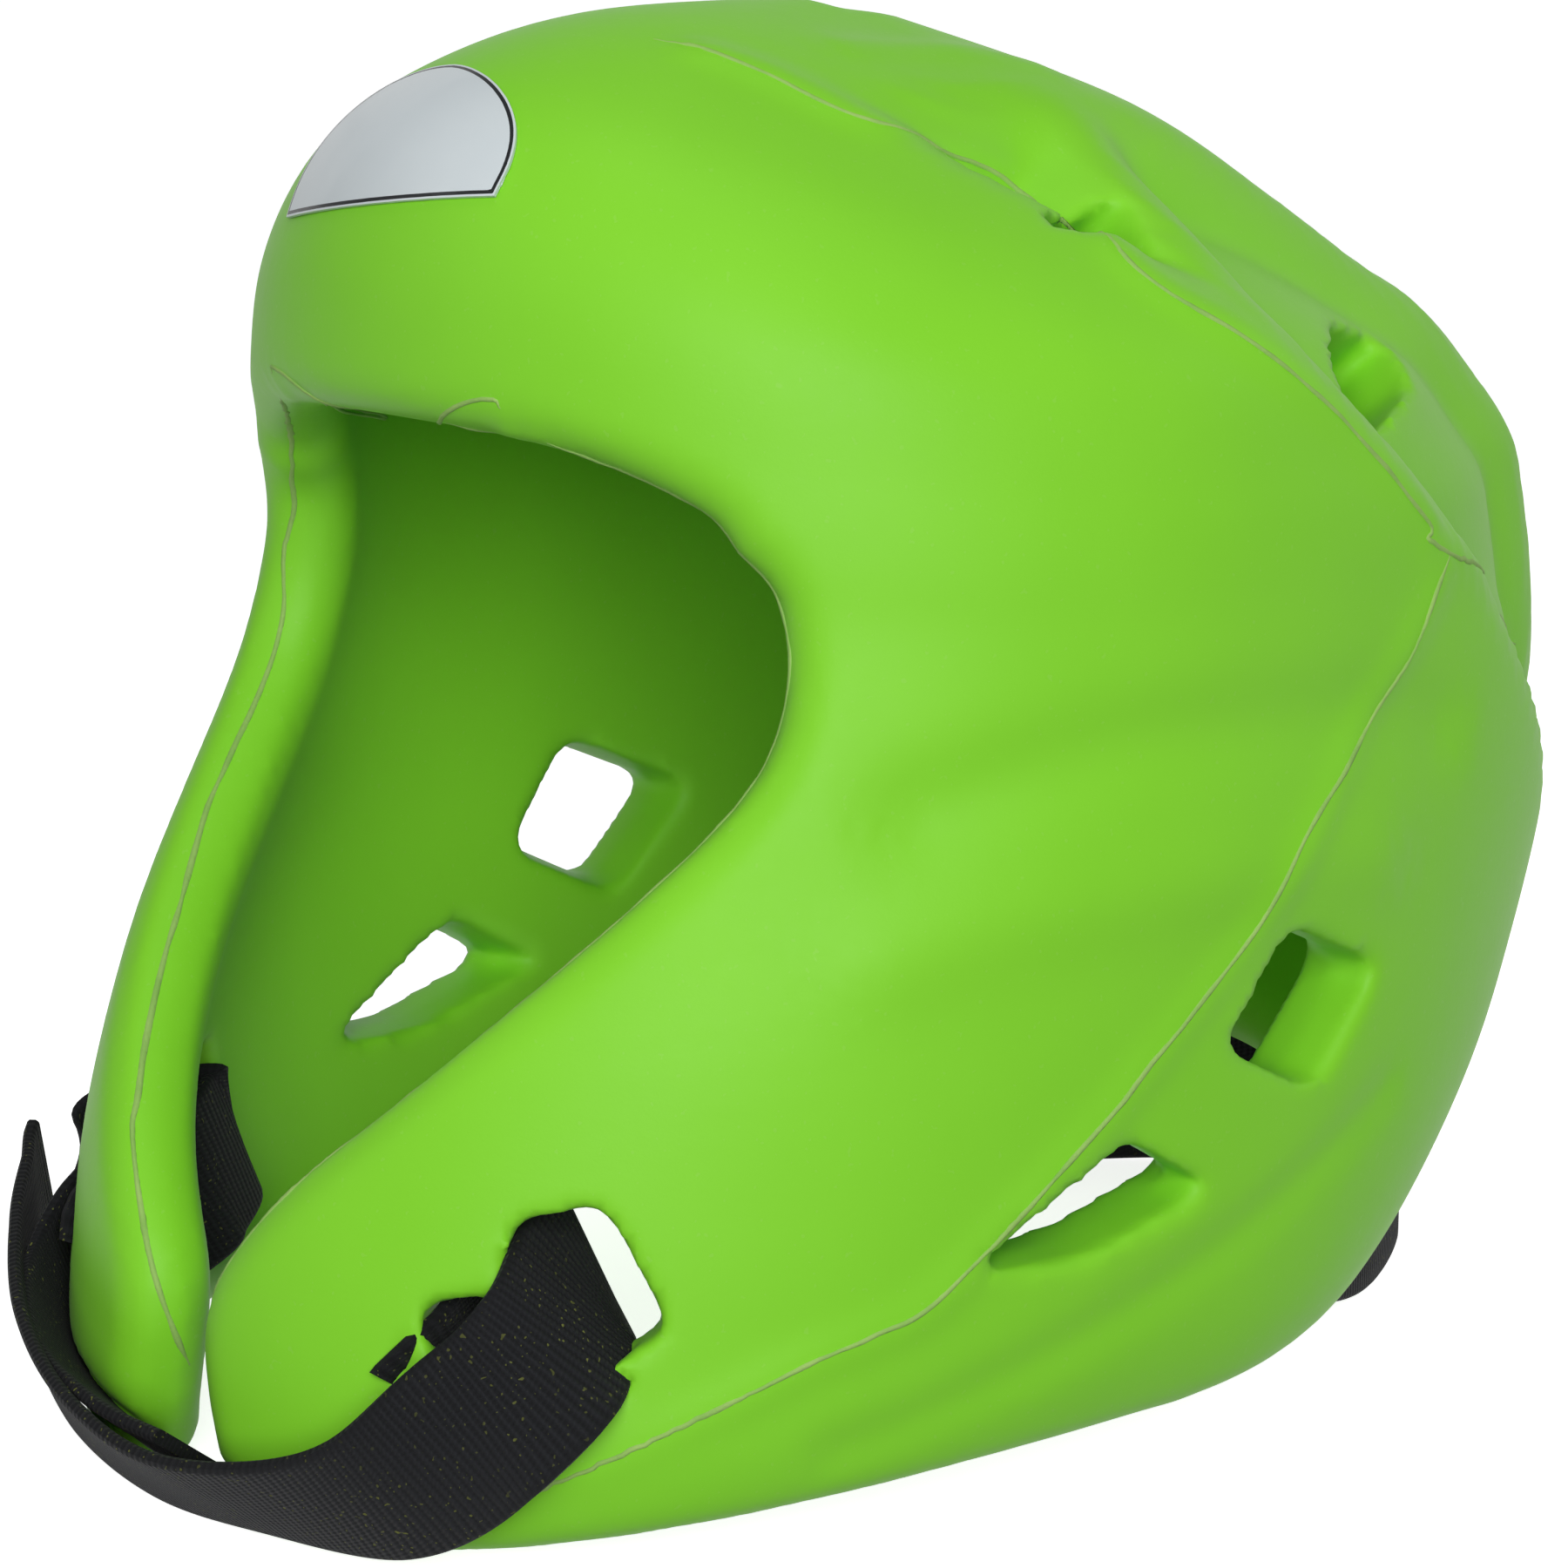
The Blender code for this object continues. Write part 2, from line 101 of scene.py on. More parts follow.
def lay_grid(name: str, points: np.ndarray) -> bpy.types.Object:
    """Add a grid and lay its rows and columns on given points.

    Args:
        name: the object's name.
        points: an array of rows x columns x 3.

    Returns:
        The grid object, with its place in its mesh.
    """
    rows, columns = points.shape[:2]
    deselect_all()
    bpy.ops.mesh.primitive_grid_add(x_subdivisions=columns - 1, y_subdivisions=rows - 1, size=1)
    thing = bpy.context.object
    thing.name = name
    thing.data.name = name
    thing.data.vertices.foreach_set("co", points.reshape(-1).astype(np.float64))
    thing.data.update()
    return thing


def apply_modifier(thing: bpy.types.Object, kind: str, **settings: object) -> None:
    """Add one modifier and apply it.

    Args:
        thing: the object.
        kind: the modifier's type.
        **settings: the modifier's values.
    """
    select_only(thing)
    modifier = thing.modifiers.new(kind.title(), kind)
    for name, value in settings.items():
        setattr(modifier, name, value)
    bpy.ops.object.modifier_apply(modifier=modifier.name)


def join_seams(thing: bpy.types.Object, merge: float = 0.000001, fill: bool = True) -> None:
    """Merge doubles, fill the open ends and turn the faces outwards.

    Args:
        thing: the object.
        merge: how close two vertices are to be one.
        fill: whether to fill the open ends.
    """
    select_only(thing)
    bpy.ops.object.mode_set(mode="EDIT")
    bpy.ops.mesh.select_all(action="SELECT")
    bpy.ops.mesh.remove_doubles(threshold=merge)
    if fill:
        bpy.ops.mesh.fill_holes(sides=0)
    bpy.ops.mesh.normals_make_consistent(inside=False)
    bpy.ops.object.mode_set(mode="OBJECT")


def smooth_skin(thing: bpy.types.Object, merge: float = 0.00001) -> None:
    """Merge doubles, turn the faces outwards and shade smooth."""
    join_seams(thing, merge, fill=False)
    bpy.ops.object.shade_smooth()


def paint(thing: bpy.types.Object, material: bpy.types.Material) -> None:
    """Make one material the only one of an object."""
    thing.data.materials.clear()
    thing.data.materials.append(material)


def vertex_array(thing: bpy.types.Object) -> np.ndarray:
    """Return the vertices of an object as an array of n x 3.

    Args:
        thing: the object.

    Returns:
        The places in its mesh.
    """
    flat = np.empty(3 * len(thing.data.vertices), dtype=np.float64)
    thing.data.vertices.foreach_get("co", flat)
    return flat.reshape(-1, 3)


def normal_array(thing: bpy.types.Object) -> np.ndarray:
    """Return the vertex normals of an object as an array of n x 3.

    Args:
        thing: the object.

    Returns:
        The directions, each of length 1.
    """
    flat = np.empty(3 * len(thing.data.vertices), dtype=np.float32)
    thing.data.vertices.foreach_get("normal", flat)
    return flat.reshape(-1, 3).astype(np.float64)


def move_vertices(thing: bpy.types.Object, points: np.ndarray) -> None:
    """Give an object's vertices new places.

    Args:
        thing: the object.
        points: an array of n x 3.
    """
    thing.data.vertices.foreach_set("co", points.reshape(-1))
    thing.data.update()


def smooth_read(table: np.ndarray, places: np.ndarray) -> np.ndarray:
    """Read rows of a table at fractional places, on a smooth curve through them.

    Args:
        table: an array of rows x values.
        places: the fractional row numbers.

    Returns:
        An array of places x values.
    """
    last = len(table) - 1
    index = np.minimum(places.astype(int), last - 1)
    part = (places - index)[:, None]
    before = table[np.maximum(index - 1, 0)]
    first, second = table[index], table[index + 1]
    after = table[np.minimum(index + 2, last)]
    slope_in, slope_out = (second - before) / 2, (after - first) / 2
    square, cube = part**2, part**3
    return (
        (2 * cube - 3 * square + 1) * first
        + (cube - 2 * square + part) * slope_in
        + (3 * square - 2 * cube) * second
        + (cube - square) * slope_out
    )


def smooth_line(points: np.ndarray, step: float) -> np.ndarray:
    """Return evenly spaced points on a smooth line through the given ones.

    Args:
        points: an array of n x 3.
        step: the distance between the new points.

    Returns:
        An array of m x 3.
    """
    fine = smooth_read(points, np.linspace(0, len(points) - 1, 24 * len(points)))
    length = np.concatenate([[0], np.cumsum(np.linalg.norm(np.diff(fine, axis=0), axis=1))])
    count = max(int(length[-1] / step), 2)
    places = np.linspace(0, length[-1], count + 1)
    return np.stack([np.interp(places, length, fine[:, axis]) for axis in range(3)], axis=1)


def smooth_step(value: np.ndarray) -> np.ndarray:
    """Return 0 below 0, 1 above 1 and a smooth rise between."""
    share = np.clip(value, 0, 1)
    return share * share * (3 - 2 * share)


def unit(vectors: np.ndarray) -> np.ndarray:
    """Return vectors with length 1."""
    return vectors / np.maximum(np.linalg.norm(vectors, axis=-1, keepdims=True), 1e-12)


def random_waves(count: int, seed: int, scale: float) -> np.ndarray:
    """Return a smooth seeded random line between about -1 and 1.

    Args:
        count: how many values.
        seed: the seed.
        scale: how many values one wave takes.

    Returns:
        An array of count values.
    """
    knots = np.random.default_rng(seed).uniform(-1, 1, int(count / scale) + 3)
    return np.interp(np.arange(count) / scale, np.arange(len(knots)), knots)


# Materials


class Value:
    """A shader value that takes arithmetic: an operator on it adds a Math node."""

    def __init__(self, sheet: Finish, socket: bpy.types.NodeSocket) -> None:
        """Wrap a socket.

        Args:
            sheet: the finish whose tree it is in.
            socket: the output socket.
        """
        self.sheet = sheet
        self.socket = socket

    def maths(self, operation: str, first: object, second: object = None) -> Value:
        """Add a Math node.

        Args:
            operation: the node's operation.
            first: its first value or number.
            second: its second value or number.

        Returns:
            The result.
        """
        values = [first] if second is None else [first, second]
        return self.sheet.node("ShaderNodeMath", {"operation": operation}, dict(enumerate(values)))

    def __add__(self, other: object) -> Value:
        """Add."""
        return self.maths("ADD", self, other)

    __radd__ = __add__

    def __mul__(self, other: object) -> Value:
        """Multiply."""
        return self.maths("MULTIPLY", self, other)

    def __sub__(self, other: object) -> Value:
        """Subtract."""
        return self.maths("SUBTRACT", self, other)

    def __rsub__(self, other: object) -> Value:
        """Subtract from a number."""
        return self.maths("SUBTRACT", other, self)

    def __abs__(self) -> Value:
        """Take the distance from 0."""
        return self.maths("ABSOLUTE", self)

    def __gt__(self, other: object) -> Value:
        """Give 1 where it is greater, else 0."""
        return self.maths("GREATER_THAN", self, other)

    def sine(self) -> Value:
        """Take the sine."""
        return self.maths("SINE", self)

    def clamp(self) -> Value:
        """Keep it between 0 and 1."""
        return self.maths("MINIMUM", self.maths("MAXIMUM", self, 0.0), 1.0)


class Finish:
    """A material in the making, with its node tree."""

    def __init__(self, name: str) -> None:
        """Start a material.

        Args:
            name: the material's name.
        """
        self.material = bpy.data.materials.new(name)
        self.material.use_nodes = True
        self.tree = self.material.node_tree
        self.shader = self.tree.nodes["Principled BSDF"]

    def node(self, kind: str, settings: dict, sockets: dict, output: object = 0) -> Value:
        """Add a node, set it up and link it.

        Args:
            kind: the node's type.
            settings: its own settings.
            sockets: its inputs by name or number, each a Value, a number or a colour.
            output: the name or number of the output to return.

        Returns:
            The wrapped output.
        """
        made = self.tree.nodes.new(kind)
        for name, value in settings.items():
            setattr(made, name, value)
        for name, value in sockets.items():
            self.feed(made.inputs[name], value)
        return Value(self, made.outputs[output])

    def feed(self, socket: bpy.types.NodeSocket, value: object) -> None:
        """Link a value to a socket, or set it.

        Args:
            socket: the input socket.
            value: a Value to link, or a number or colour to set.
        """
        if isinstance(value, Value):
            self.tree.links.new(value.socket, socket)
        else:
            socket.default_value = value

    def place(self) -> Value:
        """Return the place on the object, in metres."""
        return self.node("ShaderNodeTexCoord", {}, {}, "Object")

    def uv(self, name: str) -> tuple[Value, Value]:
        """Return the two coordinates of a UV map.

        Args:
            name: the map's name.

        Returns:
            The first and the second coordinate.
        """
        both = self.node("ShaderNodeUVMap", {"uv_map": name}, {})
        parts = self.node("ShaderNodeSeparateXYZ", {}, {0: both})
        return parts, Value(self, parts.socket.node.outputs["Y"])

    def noise(self, at: Value, scale: float, detail: float = 3.0, rough: float = 0.55) -> Value:
        """Return a noise between 0 and 1."""
        sockets = {"Vector": at, "Scale": scale, "Detail": detail, "Roughness": rough}
        return self.node("ShaderNodeTexNoise", {}, sockets, 0)

    def mix(self, share: object, first: object, second: object) -> Value:
        """Mix two colours.

        Args:
            share: how much of the second colour.
            first: a colour.
            second: a colour.

        Returns:
            The mixed colour.
        """
        made = self.node("ShaderNodeMix", {"data_type": "RGBA"}, {0: share}, 2)
        for number, value in ((6, first), (7, second)):
            self.feed(made.socket.node.inputs[number], value)
        return made

    def bump(self, height: Value, strength: float, depth: float) -> None:
        """Feed a height to the shader's Normal through a Bump node."""
        sockets = {"Strength": strength, "Distance": depth, "Height": height}
        self.feed(self.shader.inputs["Normal"], self.node("ShaderNodeBump", {}, sockets))

    def set(self, **sockets: object) -> None:
        """Set or link the shader's sockets, with _ for a space in their names."""
        for name, value in sockets.items():
            self.feed(self.shader.inputs[name.replace("_", " ")], value)


def colour(red: float, green: float, blue: float) -> tuple[float, float, float, float]:
    """Return an opaque colour."""
    return (red, green, blue, 1.0)


@dataclass(frozen=True)
class FoamFinish:
    """The satin skin of the moulded foam."""

    bright: tuple = colour(0.250, 0.720, 0.030)
    deep: tuple = colour(0.215, 0.655, 0.020)
    dusty: tuple = colour(0.330, 0.700, 0.120)

    def make(self) -> bpy.types.Material:
        """Return the material.

        Returns:
            The foam's green skin.
        """
        sheet = Finish("foam skin")
        at = sheet.place()
        clouds = sheet.noise(at, 22.0, 2.0)
        grain = sheet.noise(at, 1400.0, 3.0, 0.7)
        pores = sheet.noise(at, 420.0, 2.0)
        dust = sheet.noise(at, 900.0, 1.0) > 0.72
        green = sheet.mix(clouds, self.deep, self.bright)
        green = sheet.mix(dust * 0.22, green, self.dusty)
        rough = 0.44 + clouds * 0.10 + pores * 0.06
        sheet.set(Base_Color=green, Roughness=rough, Specular_IOR_Level=0.24)
        sheet.set(Sheen_Weight=0.03, Sheen_Roughness=0.45)
        sheet.bump(grain * 0.5 + pores * 0.5, 0.22, 0.00018)
        return sheet.material


@dataclass(frozen=True)
class FlashFinish:
    """The trimmed mould line, rough and duller than the skin."""

    dull: tuple = colour(0.170, 0.420, 0.055)
    pale: tuple = colour(0.420, 0.620, 0.170)

    def make(self) -> bpy.types.Material:
        """Return the material.

        Returns:
            The duller green of a cut edge.
        """
        sheet = Finish("trimmed mould line")
        at = sheet.place()
        patches = sheet.noise(at, 160.0, 3.0)
        grain = sheet.noise(at, 1800.0, 2.0)
        sheet.set(Base_Color=sheet.mix(patches, self.dull, self.pale), Roughness=0.7 + grain * 0.2)
        sheet.bump(grain, 0.5, 0.0003)
        return sheet.material


@dataclass(frozen=True)
class WebbingFinish:
    """Black ribbed webbing with lint caught in its weave, and painted shade in the grooves between its
    ribs.
    """

    black: tuple = colour(0.0022, 0.0024, 0.0032)
    # The colour painted on the lit rib tops, as a painted highlight.
    lit: tuple = colour(0.0150, 0.0160, 0.0190)
    lint: tuple = colour(0.300, 0.330, 0.060)
    rib: float = 0.00125
    yarn: float = 0.00085
    half_width: float = 0.013
    edge_start: float = 0.0017
    edge_width: float = 0.0012

    def make(self) -> bpy.types.Material:
        """Return the material.

        Returns:
            The black weave, which needs the UV map "weave".
        """
        sheet = Finish("black webbing")
        at = sheet.place()
        along, across = sheet.uv("weave")
        wander = sheet.noise(at, 260.0, 2.0)
        turn = along * (2 * math.pi / self.rib) + wander * 1.6
        ribs = turn.sine() * 0.5 + 0.5
        yarns = (across * (2 * math.pi / self.yarn) + turn * 0.5).sine() * 0.5 + 0.5
        edge = (abs(across) - (self.half_width - self.edge_start)) * (1 / self.edge_width)
        edge = edge.clamp()
        height = (ribs * 0.72 + yarns * 0.28) * (1 - edge * 0.6)
        fuzz = sheet.noise(at, 2600.0, 3.0, 0.7)
        # Painted shade: rib tops are painted lighter, and the grooves and selvedges darker, by the weave
        # height; the fuzz noise adds random tone.
        rib_shade_and_fuzz = (height * 0.75 + fuzz * 0.5 - 0.15).clamp()
        cloth = sheet.mix(rib_shade_and_fuzz, self.black, self.lit)
        specks = sheet.noise(at, 1500.0, 0.0) > 0.765
        patches = (sheet.noise(at, 45.0, 2.0) * 3.0 - 1.1).clamp()
        cloth = sheet.mix(specks * patches * 0.5, cloth, self.lint)
        sheet.set(Base_Color=cloth, Roughness=0.78 + fuzz * 0.15, Specular_IOR_Level=0.22)
        sheet.set(Sheen_Weight=0.03, Sheen_Roughness=0.5)
        sheet.bump(height * 0.8 + fuzz * 0.2, 0.9, 0.00055)
        return sheet.material


@dataclass(frozen=True)
class LabelFinish:
    """The blank label with a thin dark border."""

    white: tuple = colour(0.700, 0.760, 0.780)
    shade: tuple = colour(0.640, 0.705, 0.735)
    border: tuple = colour(0.012, 0.014, 0.016)
    line_from: float = 0.00035
    line_to: float = 0.00095

    def make(self) -> bpy.types.Material:
        """Return the material.

        Returns:
            The pale face and its border, which need the UV map "rim".
        """
        sheet = Finish("blank label")
        at = sheet.place()
        rim, _ = sheet.uv("rim")
        line = (rim > self.line_from) * (1 - (rim > self.line_to))
        clouds = sheet.noise(at, 90.0, 2.0)
        face = sheet.mix(clouds, self.white, self.shade)
        sheet.set(Base_Color=sheet.mix(line, face, self.border), Roughness=0.36 + clouds * 0.12)
        sheet.set(Coat_Weight=0.15)
        sheet.bump(sheet.noise(at, 700.0, 2.0), 0.08, 0.0001)
        return sheet.material


@dataclass(frozen=True)
class PaperFinish:
    """The plain pale floor and backdrop."""

    white: tuple = colour(0.90, 0.90, 0.90)
    glow: float = 0.92

    def make(self) -> bpy.types.Material:
        """Return the material.

        Returns:
            The white paper, which glows a little.
        """
        sheet = Finish("studio paper")
        sheet.set(Base_Color=self.white, Roughness=0.9)
        sheet.set(Emission_Color=self.white, Emission_Strength=self.glow)
        return sheet.material


# The photograph's camera


@dataclass(frozen=True)
class PhotoCamera:
    """The camera as solved from the photograph."""

    azimuth: float = 50.0
    elevation: float = 12.0
    distance: float = 0.750
    aim_height: float = 0.096
    aim_ahead: float = FORWARD_SHIFT
    aim_side: float = -0.0082
    lens: float = 100.5
    sensor: float = 36.0
    frame: int = 1800

    def axes(self) -> tuple[Vector, Vector, Vector]:
        """Return the right, up and forward directions.

        Returns:
            Three directions of length 1.
        """
        turn, tilt = math.radians(self.azimuth), math.radians(self.elevation)
        right = Vector((math.cos(turn), math.sin(turn), 0))
        forward = Vector(
            (-math.sin(turn) * math.cos(tilt), math.cos(turn) * math.cos(tilt), -math.sin(tilt))
        )
        return right, right.cross(forward), forward

    def eye(self) -> Vector:
        """Return the place of the lens.

        Returns:
            A point, in metres.
        """
        right, _, forward = self.axes()
        aim = Vector((0, self.aim_ahead, self.aim_height)) + right * self.aim_side
        return aim - forward * self.distance

    def ray(self, across: float, down: float) -> Vector:
        """Return the direction through a pixel of the photograph.

        Args:
            across: pixels from the left.
            down: pixels from the top.

        Returns:
            A direction of length 1.
        """
        right, up, forward = self.axes()
        focal = self.lens / self.sensor * self.frame
        half = self.frame / 2
        return (forward * focal + right * (across - half) - up * (down - half)).normalized()

    def make(self) -> None:
        """Add the camera and make it the scene's."""
        right, up, forward = self.axes()
        lens = bpy.data.cameras.new("photo camera")
        lens.sensor_width = self.sensor
        lens.lens = self.lens
        lens.clip_start = 0.01
        lens.clip_end = 50
        camera = bpy.data.objects.new("photo camera", lens)
        bpy.context.collection.objects.link(camera)
        matrix = Matrix((right, up, -forward)).transposed().to_4x4()
        matrix.translation = self.eye()
        camera.matrix_world = matrix
        bpy.context.scene.camera = camera


class Surface:
    """A mesh that rays and nearest points are found on."""

    def __init__(self, thing: bpy.types.Object) -> None:
        """Build the tree.

        Args:
            thing: the object whose surface it is.
        """
        points = vertex_array(thing)
        faces = [tuple(face.vertices) for face in thing.data.polygons]
        self.tree = BVHTree.FromPolygons([tuple(point) for point in points], faces)

    def seen(self, camera: PhotoCamera, pixels: tuple) -> np.ndarray:
        """Return the points of the surface at pixels of the photograph.

        Args:
            camera: the photograph's camera.
            pixels: pairs of across and down.

        Returns:
            An array of the points that were hit.
        """
        found = []
        for across, down in pixels:
            direction = camera.ray(across, down)
            hit = self.tree.ray_cast(camera.eye(), direction)[0]
            if hit is not None:
                found.append(tuple(hit))
        return np.array(found)

    def snap(self, points: np.ndarray) -> tuple[np.ndarray, np.ndarray]:
        """Return the nearest points of the surface and its normals there.

        Args:
            points: an array of n x 3.

        Returns:
            Two arrays of n x 3, the points and the normals.
        """
        places, normals = [], []
        for point in points:
            place, normal, _, _ = self.tree.find_nearest(Vector(point))
            places.append(tuple(place))
            normals.append(tuple(normal))
        return np.array(places), unit(np.array(normals))


def mirrored(points: np.ndarray) -> np.ndarray:
    """Return points on the other side of the middle plane."""
    return points * np.array([-1.0, 1.0, 1.0])


# The foam shell


@dataclass(frozen=True)
class GuardForm:
    """The form of the middle of the wall, as belts from the lower rim to the crown.

    Each belt gives the azimuth where it starts, from the front, and shares: of half the head width,
    of the front and back reaches, and of the height at the front, side and back. The last value is
    2 for a round front and more for a squarer one.
    """

    head_width: float = 0.200
    front_reach: float = 0.136
    back_reach: float = 0.150
    height: float = 0.229
    crown_relief: float = 0.0105
    ridge_line: tuple = (0.744, -0.843, 0.153)
    ridge_fall: float = 0.06
    middle_band: tuple = (0.33, 0.15)
    bar: tuple = (-0.02, 0.19, 0.13)
    brow: int = 9
    belts: tuple = (
        (7, 0.800, 0.930, 0.60, -0.003, 0.042, 0.170, 2.5),
        (4, 0.860, 0.950, 0.70, 0.050, 0.100, 0.220, 2.4),
        (3, 0.890, 0.945, 0.80, 0.145, 0.175, 0.285, 2.25),
        (10, 0.905, 0.925, 0.86, 0.220, 0.260, 0.350, 2.15),
        (22, 0.915, 0.875, 0.91, 0.300, 0.360, 0.425, 2.1),
        (36, 0.920, 0.805, 0.93, 0.400, 0.450, 0.490, 2.0),
        (45, 0.920, 0.725, 0.92, 0.500, 0.530, 0.550, 2.0),
        (45, 0.910, 0.670, 0.90, 0.600, 0.600, 0.610, 2.0),
        (40, 0.905, 0.665, 0.88, 0.670, 0.640, 0.645, 2.0),
        (17, 0.890, 0.660, 0.825, 0.728, 0.680, 0.680, 2.0),
        (22, 0.845, 0.650, 0.735, 0.825, 0.750, 0.730, 2.0),
        (29, 0.735, 0.600, 0.630, 0.895, 0.800, 0.765, 2.0),
        (29, 0.570, 0.500, 0.510, 0.935, 0.850, 0.815, 2.0),
        (29, 0.350, 0.330, 0.35, 0.960, 0.910, 0.880, 2.0),
        (29, 0.060, 0.060, 0.06, 0.965, 0.955, 0.950, 2.0),
    )

    def read(self, levels: np.ndarray) -> np.ndarray:
        """Return the belts' values at fractional levels."""
        return smooth_read(np.array(self.belts, dtype=float), levels)

    def starts(self, levels: np.ndarray) -> np.ndarray:
        """Return the azimuths where the wall starts, with a round turn into the brow.

        Args:
            levels: fractional belt numbers.

        Returns:
            Degrees from the front, one for each level.
        """
        plain = self.read(levels)[:, 0]
        below, above = self.belts[self.brow - 1][0], self.belts[self.brow][0]
        share = np.clip(levels - (self.brow - 1), 0, 1)
        turned = above + (below - above) * np.sqrt(np.maximum(1 - share**2, 0))
        return np.where(levels >= self.brow - 1, turned, plain)

    def surface(self, levels: np.ndarray, azimuths: np.ndarray) -> np.ndarray:
        """Return points of the unsunk form.

        Args:
            levels: fractional belt numbers.
            azimuths: degrees from the front, one for each level.

        Returns:
            An array of n x 3.
        """
        row = self.read(np.clip(levels, 0, len(self.belts) - 1))
        turn = np.radians(azimuths)
        side, ahead = np.sin(turn), np.cos(turn)
        before = ahead > 0
        end = np.where(before, row[:, 4], row[:, 6])
        height = (row[:, 5] + (end - row[:, 5]) * ahead**2) * self.height
        power = np.where(before, 2 / row[:, 7], 1.0)
        across = row[:, 1] * self.head_width / 2 * np.maximum(side, 0) ** power
        along = np.where(
            before,
            -row[:, 2] * self.front_reach * np.maximum(ahead, 0) ** power,
            -row[:, 3] * self.back_reach * np.minimum(ahead, 0),
        )
        return np.stack([across, along, height], axis=1)

    def normals(self, levels: np.ndarray, azimuths: np.ndarray) -> np.ndarray:
        """Return the outward directions of the form.

        Args:
            levels: fractional belt numbers.
            azimuths: degrees from the front, one for each level.

        Returns:
            An array of n x 3.
        """
        across = self.surface(levels, azimuths + 0.5) - self.surface(levels, azimuths - 0.5)
        up = self.surface(levels + 0.1, azimuths) - self.surface(levels - 0.1, azimuths)
        return unit(np.cross(across, up))

    def sink(self, points: np.ndarray) -> np.ndarray:
        """Return how far the wall is sunk between the ridge, the middle band and the bar.

        Args:
            points: points of the unsunk form.

        Returns:
            A depth in metres for each point.
        """
        across, along, up = np.abs(points[:, 0]), points[:, 1], points[:, 2]
        start, slope, splay = self.ridge_line
        ridge = start * self.height + slope * along + splay * across
        above = smooth_step((up - ridge) / (self.ridge_fall * self.height))
        edge, fall = self.middle_band
        beside = smooth_step((across / (self.head_width / 2) - edge) / fall)
        share = along / self.back_reach
        front, back, rise = self.bar
        bar = smooth_step((share - front) / rise) * smooth_step((back - share) / rise)
        return self.crown_relief * above * beside * (1 - bar)

    def wall(self, levels: np.ndarray, azimuths: np.ndarray) -> np.ndarray:
        """Return points of the middle of the wall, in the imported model's frame.

        Args:
            levels: fractional belt numbers.
            azimuths: degrees from the front, one for each level.

        Returns:
            An array of n x 3.
        """
        points = self.surface(levels, azimuths)
        points = points - self.normals(levels, azimuths) * self.sink(points)[:, None]
        points[:, 1] += FORWARD_SHIFT
        return points


@dataclass(frozen=True)
class Opening:
    """A hole through both sides of the wall, by its corners as levels and azimuths.

    Each ring of its plug gives its depth in wall thicknesses, outwards, and how many times the
    flare it is widened.
    """

    name: str
    corners: tuple
    flare: float = 0.18
    rounding: float = 0.22
    rings: tuple = ((-1.6, 1.6), (-0.5, 0.5), (0.0, 0.0), (0.45, 0.1), (1.6, 0.6))

    def outline(self, form: GuardForm) -> np.ndarray:
        """Return its outline on the middle of the wall, with round corners.

        Args:
            form: the form that it is in.

        Returns:
            An array of n x 3, in order round the hole.
        """
        levels = np.array([corner[0] for corner in self.corners], dtype=float)
        azimuths = np.array([corner[1] for corner in self.corners], dtype=float)
        corners = form.wall(levels, azimuths)
        outline = []
        for index, corner in enumerate(corners):
            start = corner + (corners[index - 1] - corner) * self.rounding
            end = corner + (corners[(index + 1) % len(corners)] - corner) * self.rounding
            for share in np.linspace(0, 1, 6):
                first = start + (corner - start) * share
                second = corner + (end - corner) * share
                outline.append(first + (second - first) * share)
        return np.array(outline)

    def plug(self, form: GuardForm, wall: float, side: Side) -> bpy.types.Object:
        """Return the flared plug that cuts it on one side.

        Args:
            form: the form that it is in.
            wall: the thickness of the wall.
            side: the side of the guard.

        Returns:
            The plug, a closed object.
        """
        outline = self.outline(form)
        centre = outline.mean(axis=0)
        around = np.cross(outline - centre, np.roll(outline, -1, axis=0) - centre).sum(axis=0)
        normal = around / np.linalg.norm(around)
        if normal @ (centre - np.array([0, 0, form.height / 2])) < 0:
            normal = -normal
            outline = outline[::-1]
        rings = []
        for depth, flares in self.rings:
            ring = centre + (outline - centre) * (1 + flares * self.flare) + normal * depth * wall
            ring = ring * np.array([side.value, 1.0, 1.0])
            rings.append(np.concatenate([ring, ring[:1]]))
        plug = lay_grid(self.name + " plug", np.array(rings))
        join_seams(plug)
        return plug


@dataclass(frozen=True)
class Crease:
    """A line of relief on the shell, by pixels of the photograph.

    The height is how far it stands out, or goes in if it is below 0, and the reach is how far it
    spreads to each side.
    """

    pixels: tuple
    height: float
    reach: float


